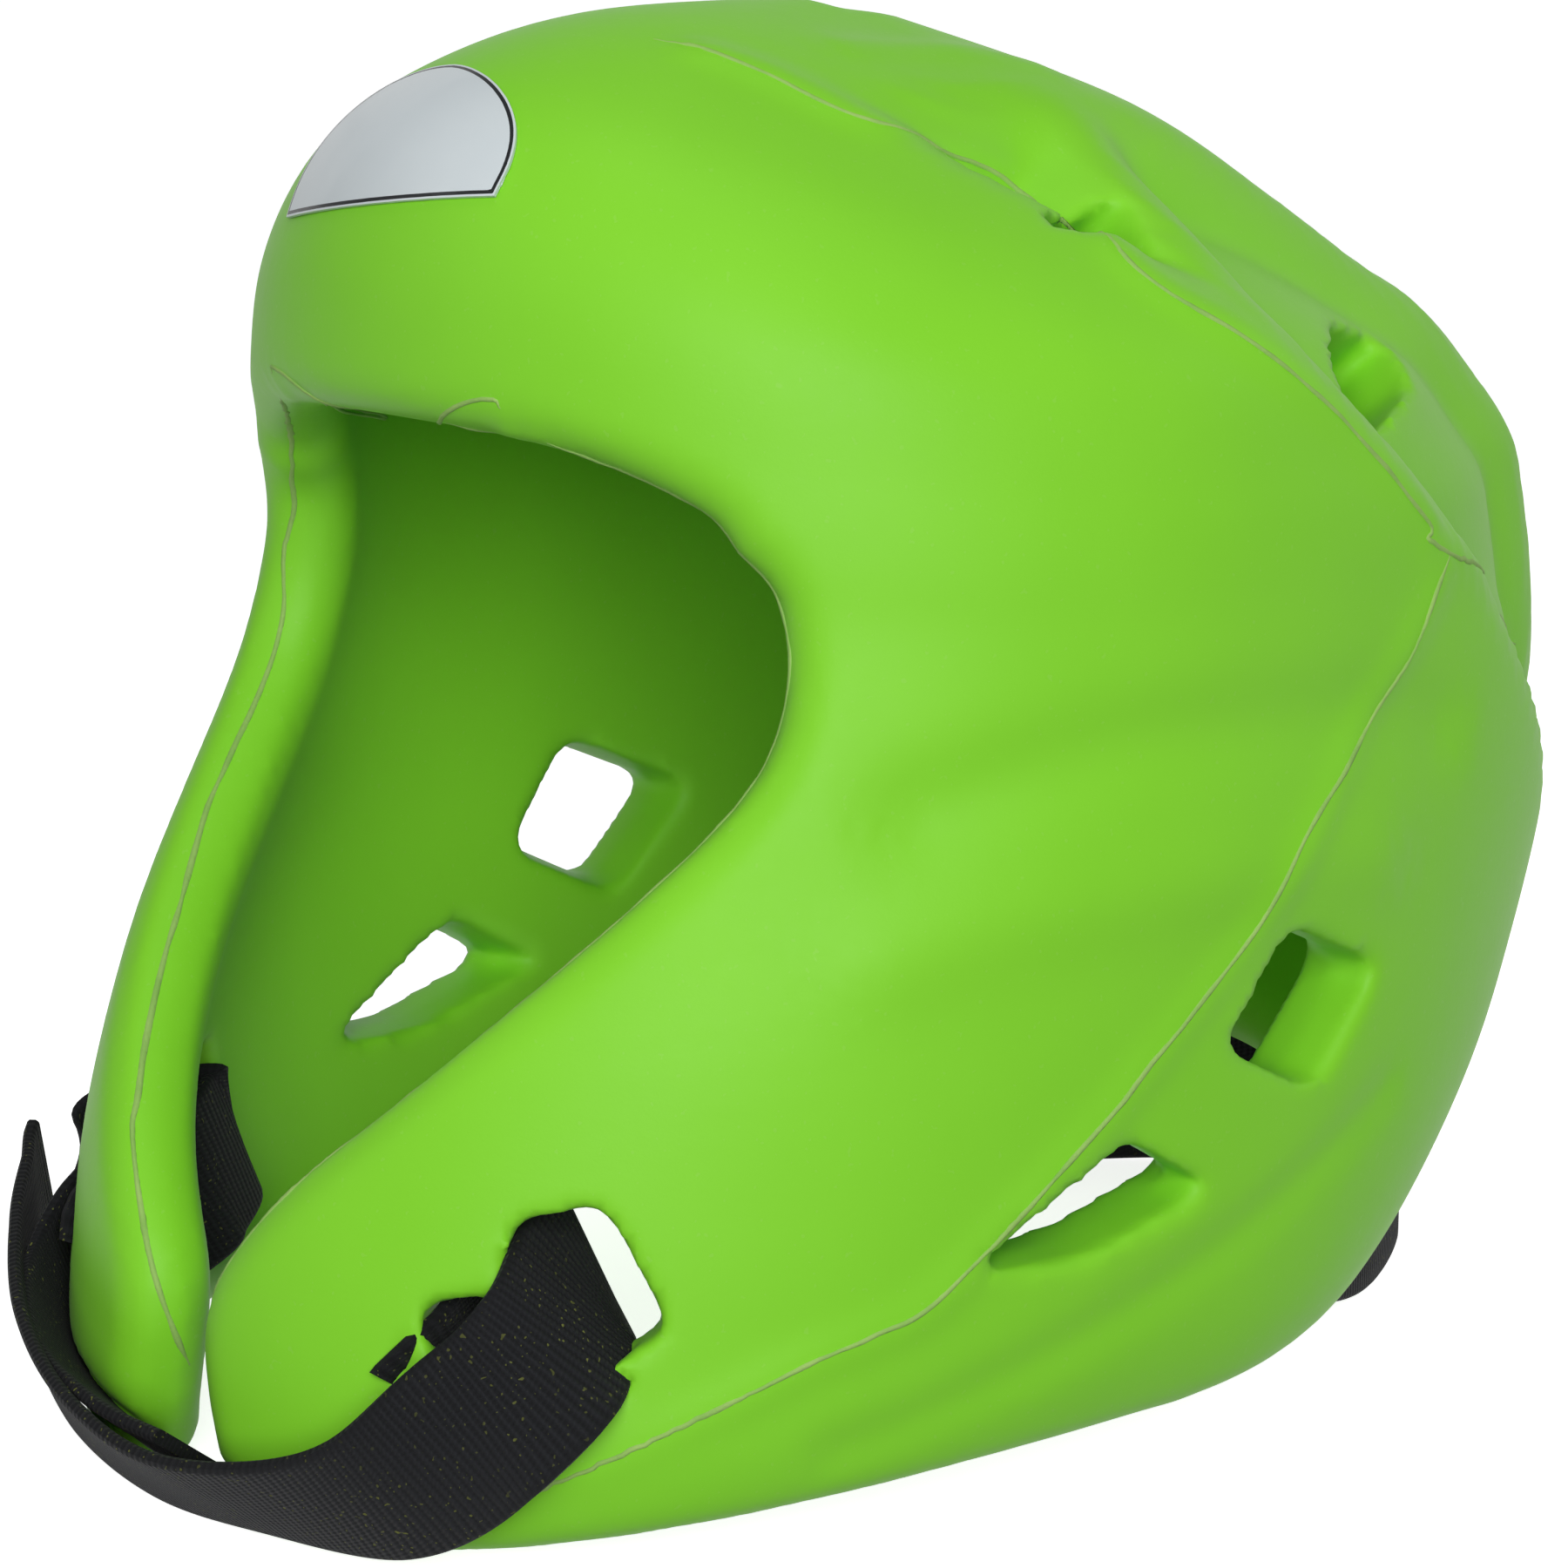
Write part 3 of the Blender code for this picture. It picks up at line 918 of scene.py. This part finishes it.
@dataclass
class FoamShell:
    """The moulded foam shell with its openings and relief."""

    form: GuardForm
    camera: PhotoCamera
    wall: float = 0.016
    voxel: float = 0.0016
    front_columns: int = 20
    side_columns: int = 90
    rows_below: int = 64
    rows_above: int = 52
    row_easing: float = 0.13
    column_easing: float = 1.25
    thinnest: float = 0.03
    line_step: float = 0.002
    chunk: int = 4000
    openings: tuple = (
        Opening("upper ear", ((4.28, 93.5), (3.75, 104.0), (3.02, 97.5), (3.50, 88.5)), 0.30),
        Opening("lower ear", ((3.00, 81.0), (2.45, 88.5), (2.10, 79.0), (2.20, 68.5)), 0.30),
        Opening("strap slot", ((3.00, 32.8), (3.10, 41.0), (2.02, 48.0), (1.74, 40.8))),
        Opening("tail slot", ((2.30, 26.0), (2.42, 33.0), (1.55, 39.5), (1.28, 32.5))),
        Opening("front vent", ((11.65, 75.0), (12.15, 97.0), (11.38, 92.0))),
        Opening("rear vent", ((9.05, 109.5), (10.3, 114.0), (10.9, 128.0), (10.6, 142.0), (9.6, 130.0))),
    )
    creases: tuple = (
        Crease(((950, 980), (1060, 935), (1250, 870), (1420, 838), (1600, 820), (1700, 850)),
               -0.0020, 0.0075),
        Crease(((900, 1170), (1010, 1110), (1150, 1060), (1320, 1020), (1500, 990), (1640, 985)),
               0.0016, 0.0085),
        Crease(((1620, 1215), (1500, 1350), (1350, 1470), (1200, 1560), (1080, 1620), (900, 1690)),
               -0.0009, 0.0045),
        Crease(CHEEK, 0.0009, 0.0035),
        Crease(RIDGE, 0.0012, 0.0045),
        Crease(((920, 52), (1100, 60), (1250, 100), (1330, 130)), 0.0009, 0.0050),
    )

    def grid_rows(self, count: int, first: float, last: float) -> np.ndarray:
        """Return levels that lie closer together at their start.

        Args:
            count: how many steps.
            first: the first level.
            last: the last level.

        Returns:
            An array of count + 1 levels.
        """
        share = np.linspace(0, 1, count + 1)
        eased = share - self.row_easing * np.sin(2 * math.pi * share)
        return first + (last - first) * eased

    def half_wall(self) -> bpy.types.Object:
        """Return the left half of the wall's middle, open at the face and below.

        Returns:
            A sheet without thickness.
        """
        top = len(self.form.belts) - 1
        below = self.grid_rows(self.rows_below, 0, self.form.brow)
        above = self.grid_rows(self.rows_above, self.form.brow, top)[1:]
        levels = np.concatenate([below, above])
        starts = self.form.starts(levels)
        front = np.linspace(0, 1, self.front_columns, endpoint=False)
        side = np.linspace(0, 1, self.side_columns + 1) ** self.column_easing
        azimuths = np.concatenate(
            [starts[:, None] * front, starts[:, None] + (180 - starts[:, None]) * side], axis=1
        )
        columns = azimuths.shape[1]
        points = self.form.wall(np.repeat(levels, columns), azimuths.reshape(-1))
        points = points.reshape(len(levels), columns, 3)
        points[:, 0, 0] = 0
        points[:, -1, 0] = 0
        half = lay_grid("foam_shell", points)
        self.open_face(half, columns)
        return half

    def open_face(self, half: bpy.types.Object, columns: int) -> None:
        """Delete what lies in front of the face, below the brow.

        Args:
            half: the grid.
            columns: how many vertices each of its rows has.
        """
        select_only(half)
        chosen = []
        for polygon in half.data.polygons:
            corners = np.array(polygon.vertices)
            below_brow = (corners // columns).max() <= self.rows_below
            if below_brow and (corners % columns).max() <= self.front_columns:
                chosen.append(polygon.index)
        bpy.ops.object.mode_set(mode="EDIT")
        bpy.ops.mesh.select_mode(type="FACE")
        bpy.ops.mesh.select_all(action="DESELECT")
        bpy.ops.object.mode_set(mode="OBJECT")
        for index in chosen:
            half.data.polygons[index].select = True
        bpy.ops.object.mode_set(mode="EDIT")
        bpy.ops.mesh.delete(type="FACE")
        bpy.ops.mesh.select_mode(type="VERT")
        bpy.ops.mesh.select_all(action="DESELECT")
        bpy.ops.object.mode_set(mode="OBJECT")

    def close_top(self, shell: bpy.types.Object) -> None:
        """Fill the small ring that the mirrored halves leave at the top.

        Args:
            shell: the mirrored sheet.
        """
        select_only(shell)
        highest = max(vertex.co.z for vertex in shell.data.vertices)
        bpy.ops.object.mode_set(mode="EDIT")
        bpy.ops.mesh.select_mode(type="VERT")
        bpy.ops.mesh.select_all(action="DESELECT")
        bpy.ops.mesh.select_non_manifold()
        bpy.ops.object.mode_set(mode="OBJECT")
        for vertex in shell.data.vertices:
            near_top = vertex.co.z > highest - 0.004 and abs(vertex.co.x) < 0.01
            vertex.select = vertex.select and near_top and abs(vertex.co.y) < 0.02
        chosen = {vertex.index for vertex in shell.data.vertices if vertex.select}
        for edge in shell.data.edges:
            edge.select = edge.select and chosen.issuperset(edge.vertices)
        bpy.ops.object.mode_set(mode="EDIT")
        bpy.ops.mesh.edge_face_add()
        bpy.ops.object.mode_set(mode="OBJECT")

    def edge_group(self, half: bpy.types.Object) -> None:
        """Give the half wall a group that is 0 at its free edge and 1 inside it.

        Args:
            half: the half sheet.
        """
        counts: dict = {}
        for polygon in half.data.polygons:
            for key in polygon.edge_keys:
                counts[key] = counts.get(key, 0) + 1
        points = vertex_array(half)
        free = [
            key for key, count in counts.items()
            if count == 1 and max(abs(points[key[0], 0]), abs(points[key[1], 0])) > 0.0003
        ]
        free = [key for key in free if points[key[0], 2] < 0.9 * self.form.height]
        ends = np.array(free)
        marks = np.concatenate([points[ends[:, 0]], (points[ends[:, 0]] + points[ends[:, 1]]) / 2])
        group = half.vertex_groups.new(name="thickness")
        radius = self.wall / 2
        for index, point in enumerate(points):
            distance = np.sqrt(((marks - point) ** 2).sum(axis=1).min())
            inward = 1 - min(distance / radius, 1.0)
            group.add([index], math.sqrt(max(1 - inward * inward, 0.0)), "REPLACE")

    def cut(self, shell: bpy.types.Object, plugs: list) -> None:
        """Cut plugs out of the shell and remove them.

        Args:
            shell: the solid wall.
            plugs: the closed objects to cut out.
        """
        for plug in plugs:
            apply_modifier(shell, "BOOLEAN", operation="DIFFERENCE", object=plug, solver="MANIFOLD")
            LOG.info("cut %s: %d faces", plug.name, len(shell.data.polygons))
            bpy.data.objects.remove(plug, do_unlink=True)

    def build(self, straps: list) -> bpy.types.Object:
        """Make the whole shell.

        Args:
            straps: the webbing bands whose way through the wall is cleared.

        Returns:
            The finished object.
        """
        shell = self.half_wall()
        self.edge_group(shell)
        apply_modifier(shell, "MIRROR", merge_threshold=0.0001)
        self.close_top(shell)
        smooth_skin(shell)
        apply_modifier(shell, "SOLIDIFY", thickness=self.wall, offset=0.0,
                       vertex_group="thickness", thickness_vertex_group=self.thinnest)
        LOG.info("solid wall: %d faces", len(shell.data.polygons))
        plugs = []
        for opening in self.openings:
            plugs += [opening.plug(self.form, self.wall, side) for side in Side]
        plugs += [strap.passage() for strap in straps]
        self.cut(shell, plugs)
        apply_modifier(shell, "REMESH", mode="VOXEL", voxel_size=self.voxel, use_smooth_shade=True)
        apply_modifier(shell, "SMOOTH", factor=0.5, iterations=3)
        self.relief(shell)
        self.stand(shell)
        select_only(shell)
        bpy.ops.object.shade_smooth()
        return shell

    def relief(self, shell: bpy.types.Object) -> None:
        """Press the creases into the outer face.

        Args:
            shell: the solid wall.
        """
        surface = Surface(shell)
        points = vertex_array(shell)
        normals = normal_array(shell)
        moved = np.zeros(len(points))
        for crease in self.creases:
            line = smooth_line(surface.seen(self.camera, crease.pixels), self.line_step)
            _, facing = surface.snap(line)
            for place, outward in ((line, facing), (mirrored(line), mirrored(facing))):
                moved += crease.height * self.fall_off(points, normals, place, outward, crease.reach)
        move_vertices(shell, points + normals * moved[:, None])

    def fall_off(self, points: np.ndarray, normals: np.ndarray, line: np.ndarray,
                 facing: np.ndarray, reach: float) -> np.ndarray:
        """Return 1 on a line and less away from it, on the same face of the wall.

        Args:
            points: the places.
            normals: their normals.
            line: the points of the line.
            facing: the normals of the line's points.
            reach: the distance at which it has fallen to about a third.

        Returns:
            One share for each place.
        """
        low = line.min(axis=0) - 3 * reach
        high = line.max(axis=0) + 3 * reach
        near = np.nonzero(((points > low) & (points < high)).all(axis=1))[0]
        share = np.zeros(len(points))
        ends = np.minimum(np.arange(len(line)), np.arange(len(line))[::-1]) * self.line_step
        fade = smooth_step(ends / (2.2 * reach))
        for start in range(0, len(near), self.chunk):
            chosen = near[start:start + self.chunk]
            offset = points[chosen][:, None] - line[None]
            distance = np.sqrt((offset**2).sum(axis=2))
            nearest = distance.argmin(axis=1)
            closest = distance[np.arange(len(chosen)), nearest]
            agree = (normals[chosen] * facing[nearest]).sum(axis=1) > 0.3
            share[chosen] = np.exp(-((closest / reach) ** 2)) * agree * fade[nearest]
        return share

    def stand(self, shell: bpy.types.Object) -> None:
        """Flatten what would go below the surface that it stands on.

        Args:
            shell: the solid wall.
        """
        points = vertex_array(shell)
        points[:, 2] = np.maximum(points[:, 2], 0.0)
        move_vertices(shell, points)

    def dress(self, shell: bpy.types.Object) -> None:
        """Args:
            shell: the finished shell.
        """
        paint(shell, FoamFinish().make())
        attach(shell, BODY)
        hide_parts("shell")


# Mould lines


@dataclass(frozen=True)
class MouldLine:
    """A trimmed mould line, by pixels of the photograph."""

    name: str
    pixels: tuple
    width: float = 0.0009
    height: float = 0.00030


@dataclass
class MouldLines:
    """The trimmed flash where the mould's halves met."""

    camera: PhotoCamera
    step: float = 0.0012
    sway: float = 0.00018
    fade: float = 5.0
    profile: tuple = ((-0.5, -0.9), (-0.38, 0.45), (0.0, 1.0), (0.38, 0.45), (0.5, -0.9))
    lines: tuple = (
        MouldLine("ridge_line", RIDGE),
        MouldLine("cheek_line", CHEEK),
        MouldLine("rim_line", (
            (322, 457), (333, 600), (324, 715), (287, 818), (241, 921), (207, 1036), (178, 1145),
            (158, 1257), (152, 1303), (169, 1430), (198, 1521), (218, 1567)), 0.0011),
        MouldLine("brow_line", ((373, 462), (402, 475), (436, 476), (517, 470), (574, 470)), 0.0008),
    )

    def ribbon(self, line: MouldLine, surface: Surface, points: np.ndarray, name: str,
               seed: int) -> bpy.types.Object:
        """Return one low ragged ribbon on the shell.

        Args:
            line: the line's sizes.
            surface: the shell's surface.
            points: its way over the shell.
            name: the object's name.
            seed: the seed of its raggedness.

        Returns:
            The ribbon object.
        """
        places, normals = surface.snap(smooth_line(points, self.step))
        ahead = unit(np.gradient(places, axis=0))
        across = unit(np.cross(normals, ahead))
        count = len(places)
        width = line.width * (1 + 0.30 * random_waves(count, seed, 4.0))
        height = line.height * (1 + 0.35 * random_waves(count, seed + 1, 3.0))
        sway = self.sway * random_waves(count, seed + 2, 6.0)
        ends = np.minimum(np.arange(count), np.arange(count)[::-1])
        fade = smooth_step(ends / self.fade)
        columns = []
        for out, up in self.profile:
            shift = (out * width * (0.3 + 0.7 * fade) + sway)[:, None]
            lift = (up * height * (0.2 + 0.8 * fade))[:, None]
            columns.append(places + across * shift + normals * lift)
        columns.append(places - normals * (1.6 * line.height))
        columns.append(columns[0])
        ribbon = lay_grid(name, np.stack(columns, axis=1))
        smooth_skin(ribbon, 0.000005)
        return ribbon

    def build(self, surface: Surface) -> list:
        """Return all the ribbons.

        Args:
            surface: the shell's surface.

        Returns:
            The ribbon objects, two for each line.
        """
        made = []
        for number, line in enumerate(self.lines):
            points = surface.seen(self.camera, line.pixels)
            for side in Side:
                way = points if side is Side.LEFT else mirrored(points)
                name = f"{line.name}_{side.name.lower()}"
                made.append(self.ribbon(line, surface, way, name, 10 * number + 3))
        return made

    def dress(self, ribbons: list) -> None:
        """Give the ribbons their finish and body.

        Args:
            ribbons: the ribbon objects.
        """
        finish = FlashFinish().make()
        for ribbon in ribbons:
            paint(ribbon, finish)
            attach(ribbon, BODY)


# Webbing


@dataclass(frozen=True)
class Band:
    """A flat webbing band along points, each with the lean of the webbing there in degrees."""

    name: str
    node: str
    rows: tuple
    reach: float
    side: int = 1
    width: float = 0.026
    thickness: float = 0.0022
    step: float = 0.0012
    passage_step: float = 0.004
    clearance: float = 0.0006
    selvedge: float = 0.00045
    across_count: int = 12
    head_width: float = 0.200
    guard_height: float = 0.229

    def sections(self, step: float) -> tuple:
        """Return the band's middle line, its directions across and out, its length so far and
        its direction ahead.

        Args:
            step: the distance between the sections.

        Returns:
            Five arrays with a row for each section.
        """
        table = np.array(self.rows, dtype=float)
        sizes = np.array([self.side * self.head_width / 2, self.reach, self.guard_height])
        points = table[:, :3] * sizes
        points[:, 1] += FORWARD_SHIFT
        table = np.concatenate([points, self.side * table[:, 3:]], axis=1)
        fine = smooth_read(table, np.linspace(0, len(table) - 1, 40 * len(table)))
        run = np.linalg.norm(np.diff(fine[:, :3], axis=0), axis=1)
        length = np.concatenate([[0], np.cumsum(run)])
        places = np.linspace(0, length[-1], int(length[-1] / step) + 1)
        even = np.stack([np.interp(places, length, fine[:, axis]) for axis in range(4)], axis=1)
        line, lean = even[:, :3], np.radians(even[:, 3])[:, None]
        ahead = unit(np.gradient(line, axis=0))
        up = unit(np.array([0, 0, 1.0]) - ahead * ahead[:, 2:])
        aside = np.cross(ahead, up)
        across = up * np.cos(lean) + aside * np.sin(lean)
        return line, across, unit(np.cross(ahead, across)), places, ahead

    def passage(self) -> bpy.types.Object:
        """Return the plug that clears the band's way through the wall.

        Returns:
            The plug, a closed object.
        """
        line, across, out, _, ahead = self.sections(self.passage_step)
        line[0] -= ahead[0] * self.clearance
        line[-1] += ahead[-1] * self.clearance
        half = self.width / 2 + self.clearance
        deep = self.thickness / 2 + self.clearance
        rings = [
            line + across * half * edge + out * deep * face
            for edge, face in ((-1, -1), (1, -1), (1, 1), (-1, 1), (-1, -1))
        ]
        plug = lay_grid(self.name + " passage", np.stack(rings, axis=1))
        join_seams(plug)
        return plug

    def build(self) -> bpy.types.Object:
        """Return the band with a UV map of metres along and across it.

        Returns:
            The band object.
        """
        line, across, out, along, _ = self.sections(self.step)
        half, edge, deep = self.width / 2, self.selvedge, self.thickness / 2
        outer = np.concatenate([
            [-half, -half + edge], np.linspace(-half + 2 * edge, half - 2 * edge, self.across_count),
            [half - edge, half],
        ])
        lifts = np.full(len(outer), deep)
        lifts[[0, -1]] = deep - edge * 1.2
        lifts[[1, -2]] = deep - edge * 0.25
        widths = np.concatenate([outer, outer[::-1], outer[:1]])
        faces = np.concatenate([lifts, -lifts[::-1], lifts[:1]])
        wave = 1 + 0.006 * random_waves(len(line), 7, 9.0)
        columns = [
            line + across * (place * wave)[:, None] + out * lift for place, lift in zip(widths, faces)
        ]
        band = lay_grid(self.name, np.stack(columns, axis=1))
        count = len(widths)
        layer = band.data.uv_layers.new(name="weave")
        for loop in band.data.loops:
            row, column = divmod(loop.vertex_index, count)
            layer.data[loop.index].uv = (along[row], widths[column])
        join_seams(band)
        bpy.ops.object.shade_smooth_by_angle(angle=math.radians(40))
        return band

    def dress(self, band: bpy.types.Object, finish: bpy.types.Material) -> None:
        """Give the band its finish and body.

        Args:
            band: the band object.
            finish: the webbing's material.
        """
        paint(band, finish)
        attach(band, BODY)
        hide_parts(self.node)


OUTER_STRAP = (
    (0.452, -0.862, 0.104, 0),
    (0.450, -0.835, 0.122, 5),
    (0.420, -0.745, 0.158, 10),
    (0.500, -0.670, 0.178, 20),
    (0.585, -0.735, 0.184, 40),
    (0.660, -0.815, 0.158, 40),
    (0.625, -0.892, 0.116, 20),
    (0.505, -0.978, 0.0620, -30),
    (0.250, -1.048, 0.0430, -50),
    (-0.020, -1.060, 0.0440, -40),
    (-0.300, -1.022, 0.0600, -24),
    (-0.555, -0.942, 0.086, -8),
    (-0.720, -0.862, 0.110, 0),
    (-0.790, -0.815, 0.128, 0),
)
INNER_STRAP = (
    (0.452, -0.858, 0.106, 0),
    (0.450, -0.835, 0.124, 5),
    (0.420, -0.745, 0.158, 10),
    (0.500, -0.670, 0.178, 20),
    (0.585, -0.735, 0.184, 40),
    (0.648, -0.806, 0.160, 38),
    (0.590, -0.866, 0.118, 10),
    (0.475, -0.936, 0.072, -20),
    (0.240, -1.005, 0.056, -42),
    (0.000, -1.028, 0.050, -50),
    (-0.180, -1.024, 0.050, -52),
)
NAPE_STRAP = (
    (0.600, 0.300, 0.125, -20),
    (0.575, 0.420, 0.085, -10),
    (0.480, 0.580, 0.066, 0),
    (0.280, 0.760, 0.066, 0),
    (0.000, 0.830, 0.066, 0),
    (-0.280, 0.760, 0.066, 0),
    (-0.480, 0.580, 0.066, 0),
    (-0.575, 0.420, 0.085, -10),
    (-0.600, 0.300, 0.125, -20),
)


# The label


@dataclass
class ForeheadLabel:
    """The blank fan-shaped label on the forehead."""

    form: GuardForm
    width: float = 0.0465
    offset: float = -0.0008
    low: float = 10.30
    high: float = 11.75
    columns: int = 48
    rows: int = 28
    thickness: float = 0.0006
    slope: float = 0.11
    sag: float = 0.03
    end_height: float = 0.08
    top: float = 0.92
    roundness: float = 1.7
    lift: float = 0.008
    gap: float = 0.0002

    def edges(self, share: np.ndarray) -> tuple[np.ndarray, np.ndarray]:
        """Return the lower and upper edge as shares of the height, across the width.

        Args:
            share: places across the width, from -1 to 1.

        Returns:
            Two arrays with a value for each place.
        """
        lower = self.slope * (1 + share) - self.sag * (1 - share**2)
        round_off = np.sqrt(np.maximum(1 - np.abs(share) ** self.roundness, 0))
        upper = lower + self.end_height + (self.top - lower) * round_off
        return lower, upper

    def build(self, surface: Surface) -> bpy.types.Object:
        """Return the label, laid on the shell.

        Args:
            surface: the shell's surface.

        Returns:
            The label object.
        """
        share = np.linspace(-1, 1, self.columns + 1)
        share = np.sin(share * math.pi / 2)
        lower, upper = self.edges(share)
        up = np.linspace(0, 1, self.rows + 1)[:, None]
        level = self.low + (self.high - self.low) * (lower + (upper - lower) * up)
        across = np.broadcast_to(share * self.width / 2 + self.offset, level.shape)
        half = self.form.read(level.reshape(-1))[:, 1] * self.form.head_width / 2
        azimuth = np.degrees(np.arcsin(np.clip(np.abs(across).reshape(-1) / half, 0, 1)))
        points = self.form.wall(level.reshape(-1), azimuth)
        points += self.form.normals(level.reshape(-1), azimuth) * self.lift
        points[:, 0] *= np.sign(across).reshape(-1)
        places, normals = surface.snap(points)
        face = places + normals * (self.gap + self.thickness)
        face = face.reshape(self.rows + 1, self.columns + 1, 3)
        label = lay_grid("blank_label", face)
        self.rim_map(label, face)
        smooth_skin(label, 0.000005)
        apply_modifier(label, "SOLIDIFY", thickness=self.thickness, offset=-1.0)
        bpy.ops.object.shade_smooth_by_angle(angle=math.radians(40))
        return label

    def rim_map(self, label: bpy.types.Object, grid: np.ndarray) -> None:
        """Give the label a UV map whose first coordinate is the distance to its rim.

        Args:
            label: the label object.
            grid: its points as rows x columns x 3.
        """
        rim = np.concatenate([grid[0], grid[-1], grid[:, 0], grid[:, -1]])
        flat = grid.reshape(-1, 3)
        fine = np.concatenate([rim[:-1] + (rim[1:] - rim[:-1]) * s for s in (0.0, 0.25, 0.5, 0.75)])
        long = np.linalg.norm(np.concatenate([rim[1:] - rim[:-1]] * 4), axis=1) < 0.004
        fine = fine[long]
        distance = np.sqrt(((flat[:, None] - fine[None]) ** 2).sum(axis=2).min(axis=1))
        layer = label.data.uv_layers.new(name="rim")
        for loop in label.data.loops:
            layer.data[loop.index].uv = (distance[loop.vertex_index], 0.5)

    def dress(self, label: bpy.types.Object) -> None:
        """Give the label its finish and body.

        Args:
            label: the label object.
        """
        paint(label, LabelFinish().make())
        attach(label, BODY)
        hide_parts("forehead_label")


# The studio


@dataclass(frozen=True)
class Studio:
    """The pale floor that sweeps up to a backdrop, and soft light."""

    reach: float = 3.0
    rise: float = 0.8
    drop: float = 0.0002
    turn: float = 50.0
    world_strength: float = 0.09
    lamps: tuple = (
        ("key", (1.02, -0.82, 0.55), 0.7, 14.5),
        ("top", (0.2, -0.1, 1.6), 1.0, 4.0),
        ("back", (0.5, 1.3, 0.7), 0.9, 3.0),
        ("front", (-0.5, -1.2, 0.7), 0.6, 1.6),
    )

    def floor(self) -> None:
        """Add the floor and backdrop."""
        turn = math.radians(self.turn)
        away = np.array([-math.sin(turn), math.cos(turn), 0])
        aside = np.array([math.cos(turn), math.sin(turn), 0])
        flat = [(-self.reach, 0.0), (0.0, 0.0), (self.reach / 2, 0.0)]
        bend = [
            (self.reach / 2 + self.rise * math.sin(angle), self.rise * (1 - math.cos(angle)))
            for angle in np.linspace(0, math.pi / 2, 17)[1:]
        ]
        wall = [(self.reach / 2 + self.rise, self.rise * 3)]
        points = [
            [away * along + aside * side + np.array([0, 0, up - self.drop])
             for side in np.linspace(-self.reach, self.reach, 9)]
            for along, up in flat + bend + wall
        ]
        sweep = lay_grid("studio_sweep", np.array(points))
        paint(sweep, PaperFinish().make())
        select_only(sweep)
        bpy.ops.object.shade_smooth()
        sweep.visible_diffuse = False

    def light(self, name: str, place: tuple, size: float, power: float) -> None:
        """Add a soft area light that looks at the guard.

        Args:
            name: its name.
            place: where it stands.
            size: the length of its sides.
            power: its power in watts.
        """
        lamp = bpy.data.lights.new(name, "AREA")
        lamp.energy = power
        lamp.size = size
        thing = bpy.data.objects.new(name, lamp)
        bpy.context.collection.objects.link(thing)
        thing.location = place
        thing.rotation_euler = (Vector((0, 0, 0.1)) - thing.location).to_track_quat("-Z", "Y").to_euler()

    def lights(self) -> None:
        """Add the lights and the world."""
        for lamp in self.lamps:
            self.light(*lamp)
        world = bpy.data.worlds.new("studio")
        world.use_nodes = True
        sky = world.node_tree.nodes["Background"]
        sky.inputs["Color"].default_value = colour(1.0, 1.0, 1.0)
        sky.inputs["Strength"].default_value = self.world_strength
        bpy.context.scene.world = world
        bpy.context.scene.view_settings.view_transform = "Standard"


def main() -> None:
    """Build every piece in order and report it."""
    logging.basicConfig(level=logging.INFO, format="%(message)s")
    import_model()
    camera = PhotoCamera()
    camera.make()
    form = GuardForm()
    bands = [
        Band("chin_webbing_left", "chin_strap_left", OUTER_STRAP, form.front_reach),
        Band("chin_webbing_right", "chin_strap_right", INNER_STRAP, form.front_reach, -1),
        Band("nape_webbing", "nape_strap", NAPE_STRAP, form.back_reach, 1, 0.029),
    ]
    foam = FoamShell(form, camera)
    shell = foam.build(bands)
    foam.dress(shell)
    LOG.info("shell: %d faces", len(shell.data.polygons))
    surface = Surface(shell)
    mould = MouldLines(camera)
    ribbons = mould.build(surface)
    mould.dress(ribbons)
    LOG.info("mould lines: %d", len(ribbons))
    finish = WebbingFinish().make()
    for band in bands:
        made = band.build()
        band.dress(made, finish)
        LOG.info("%s: %d faces", made.name, len(made.data.polygons))
    label = ForeheadLabel(form)
    blank = label.build(surface)
    label.dress(blank)
    LOG.info("label: %d faces", len(blank.data.polygons))
    studio = Studio()
    studio.floor()
    studio.lights()
    bpy.context.view_layer.update()


if __name__ == "__main__":
    main()
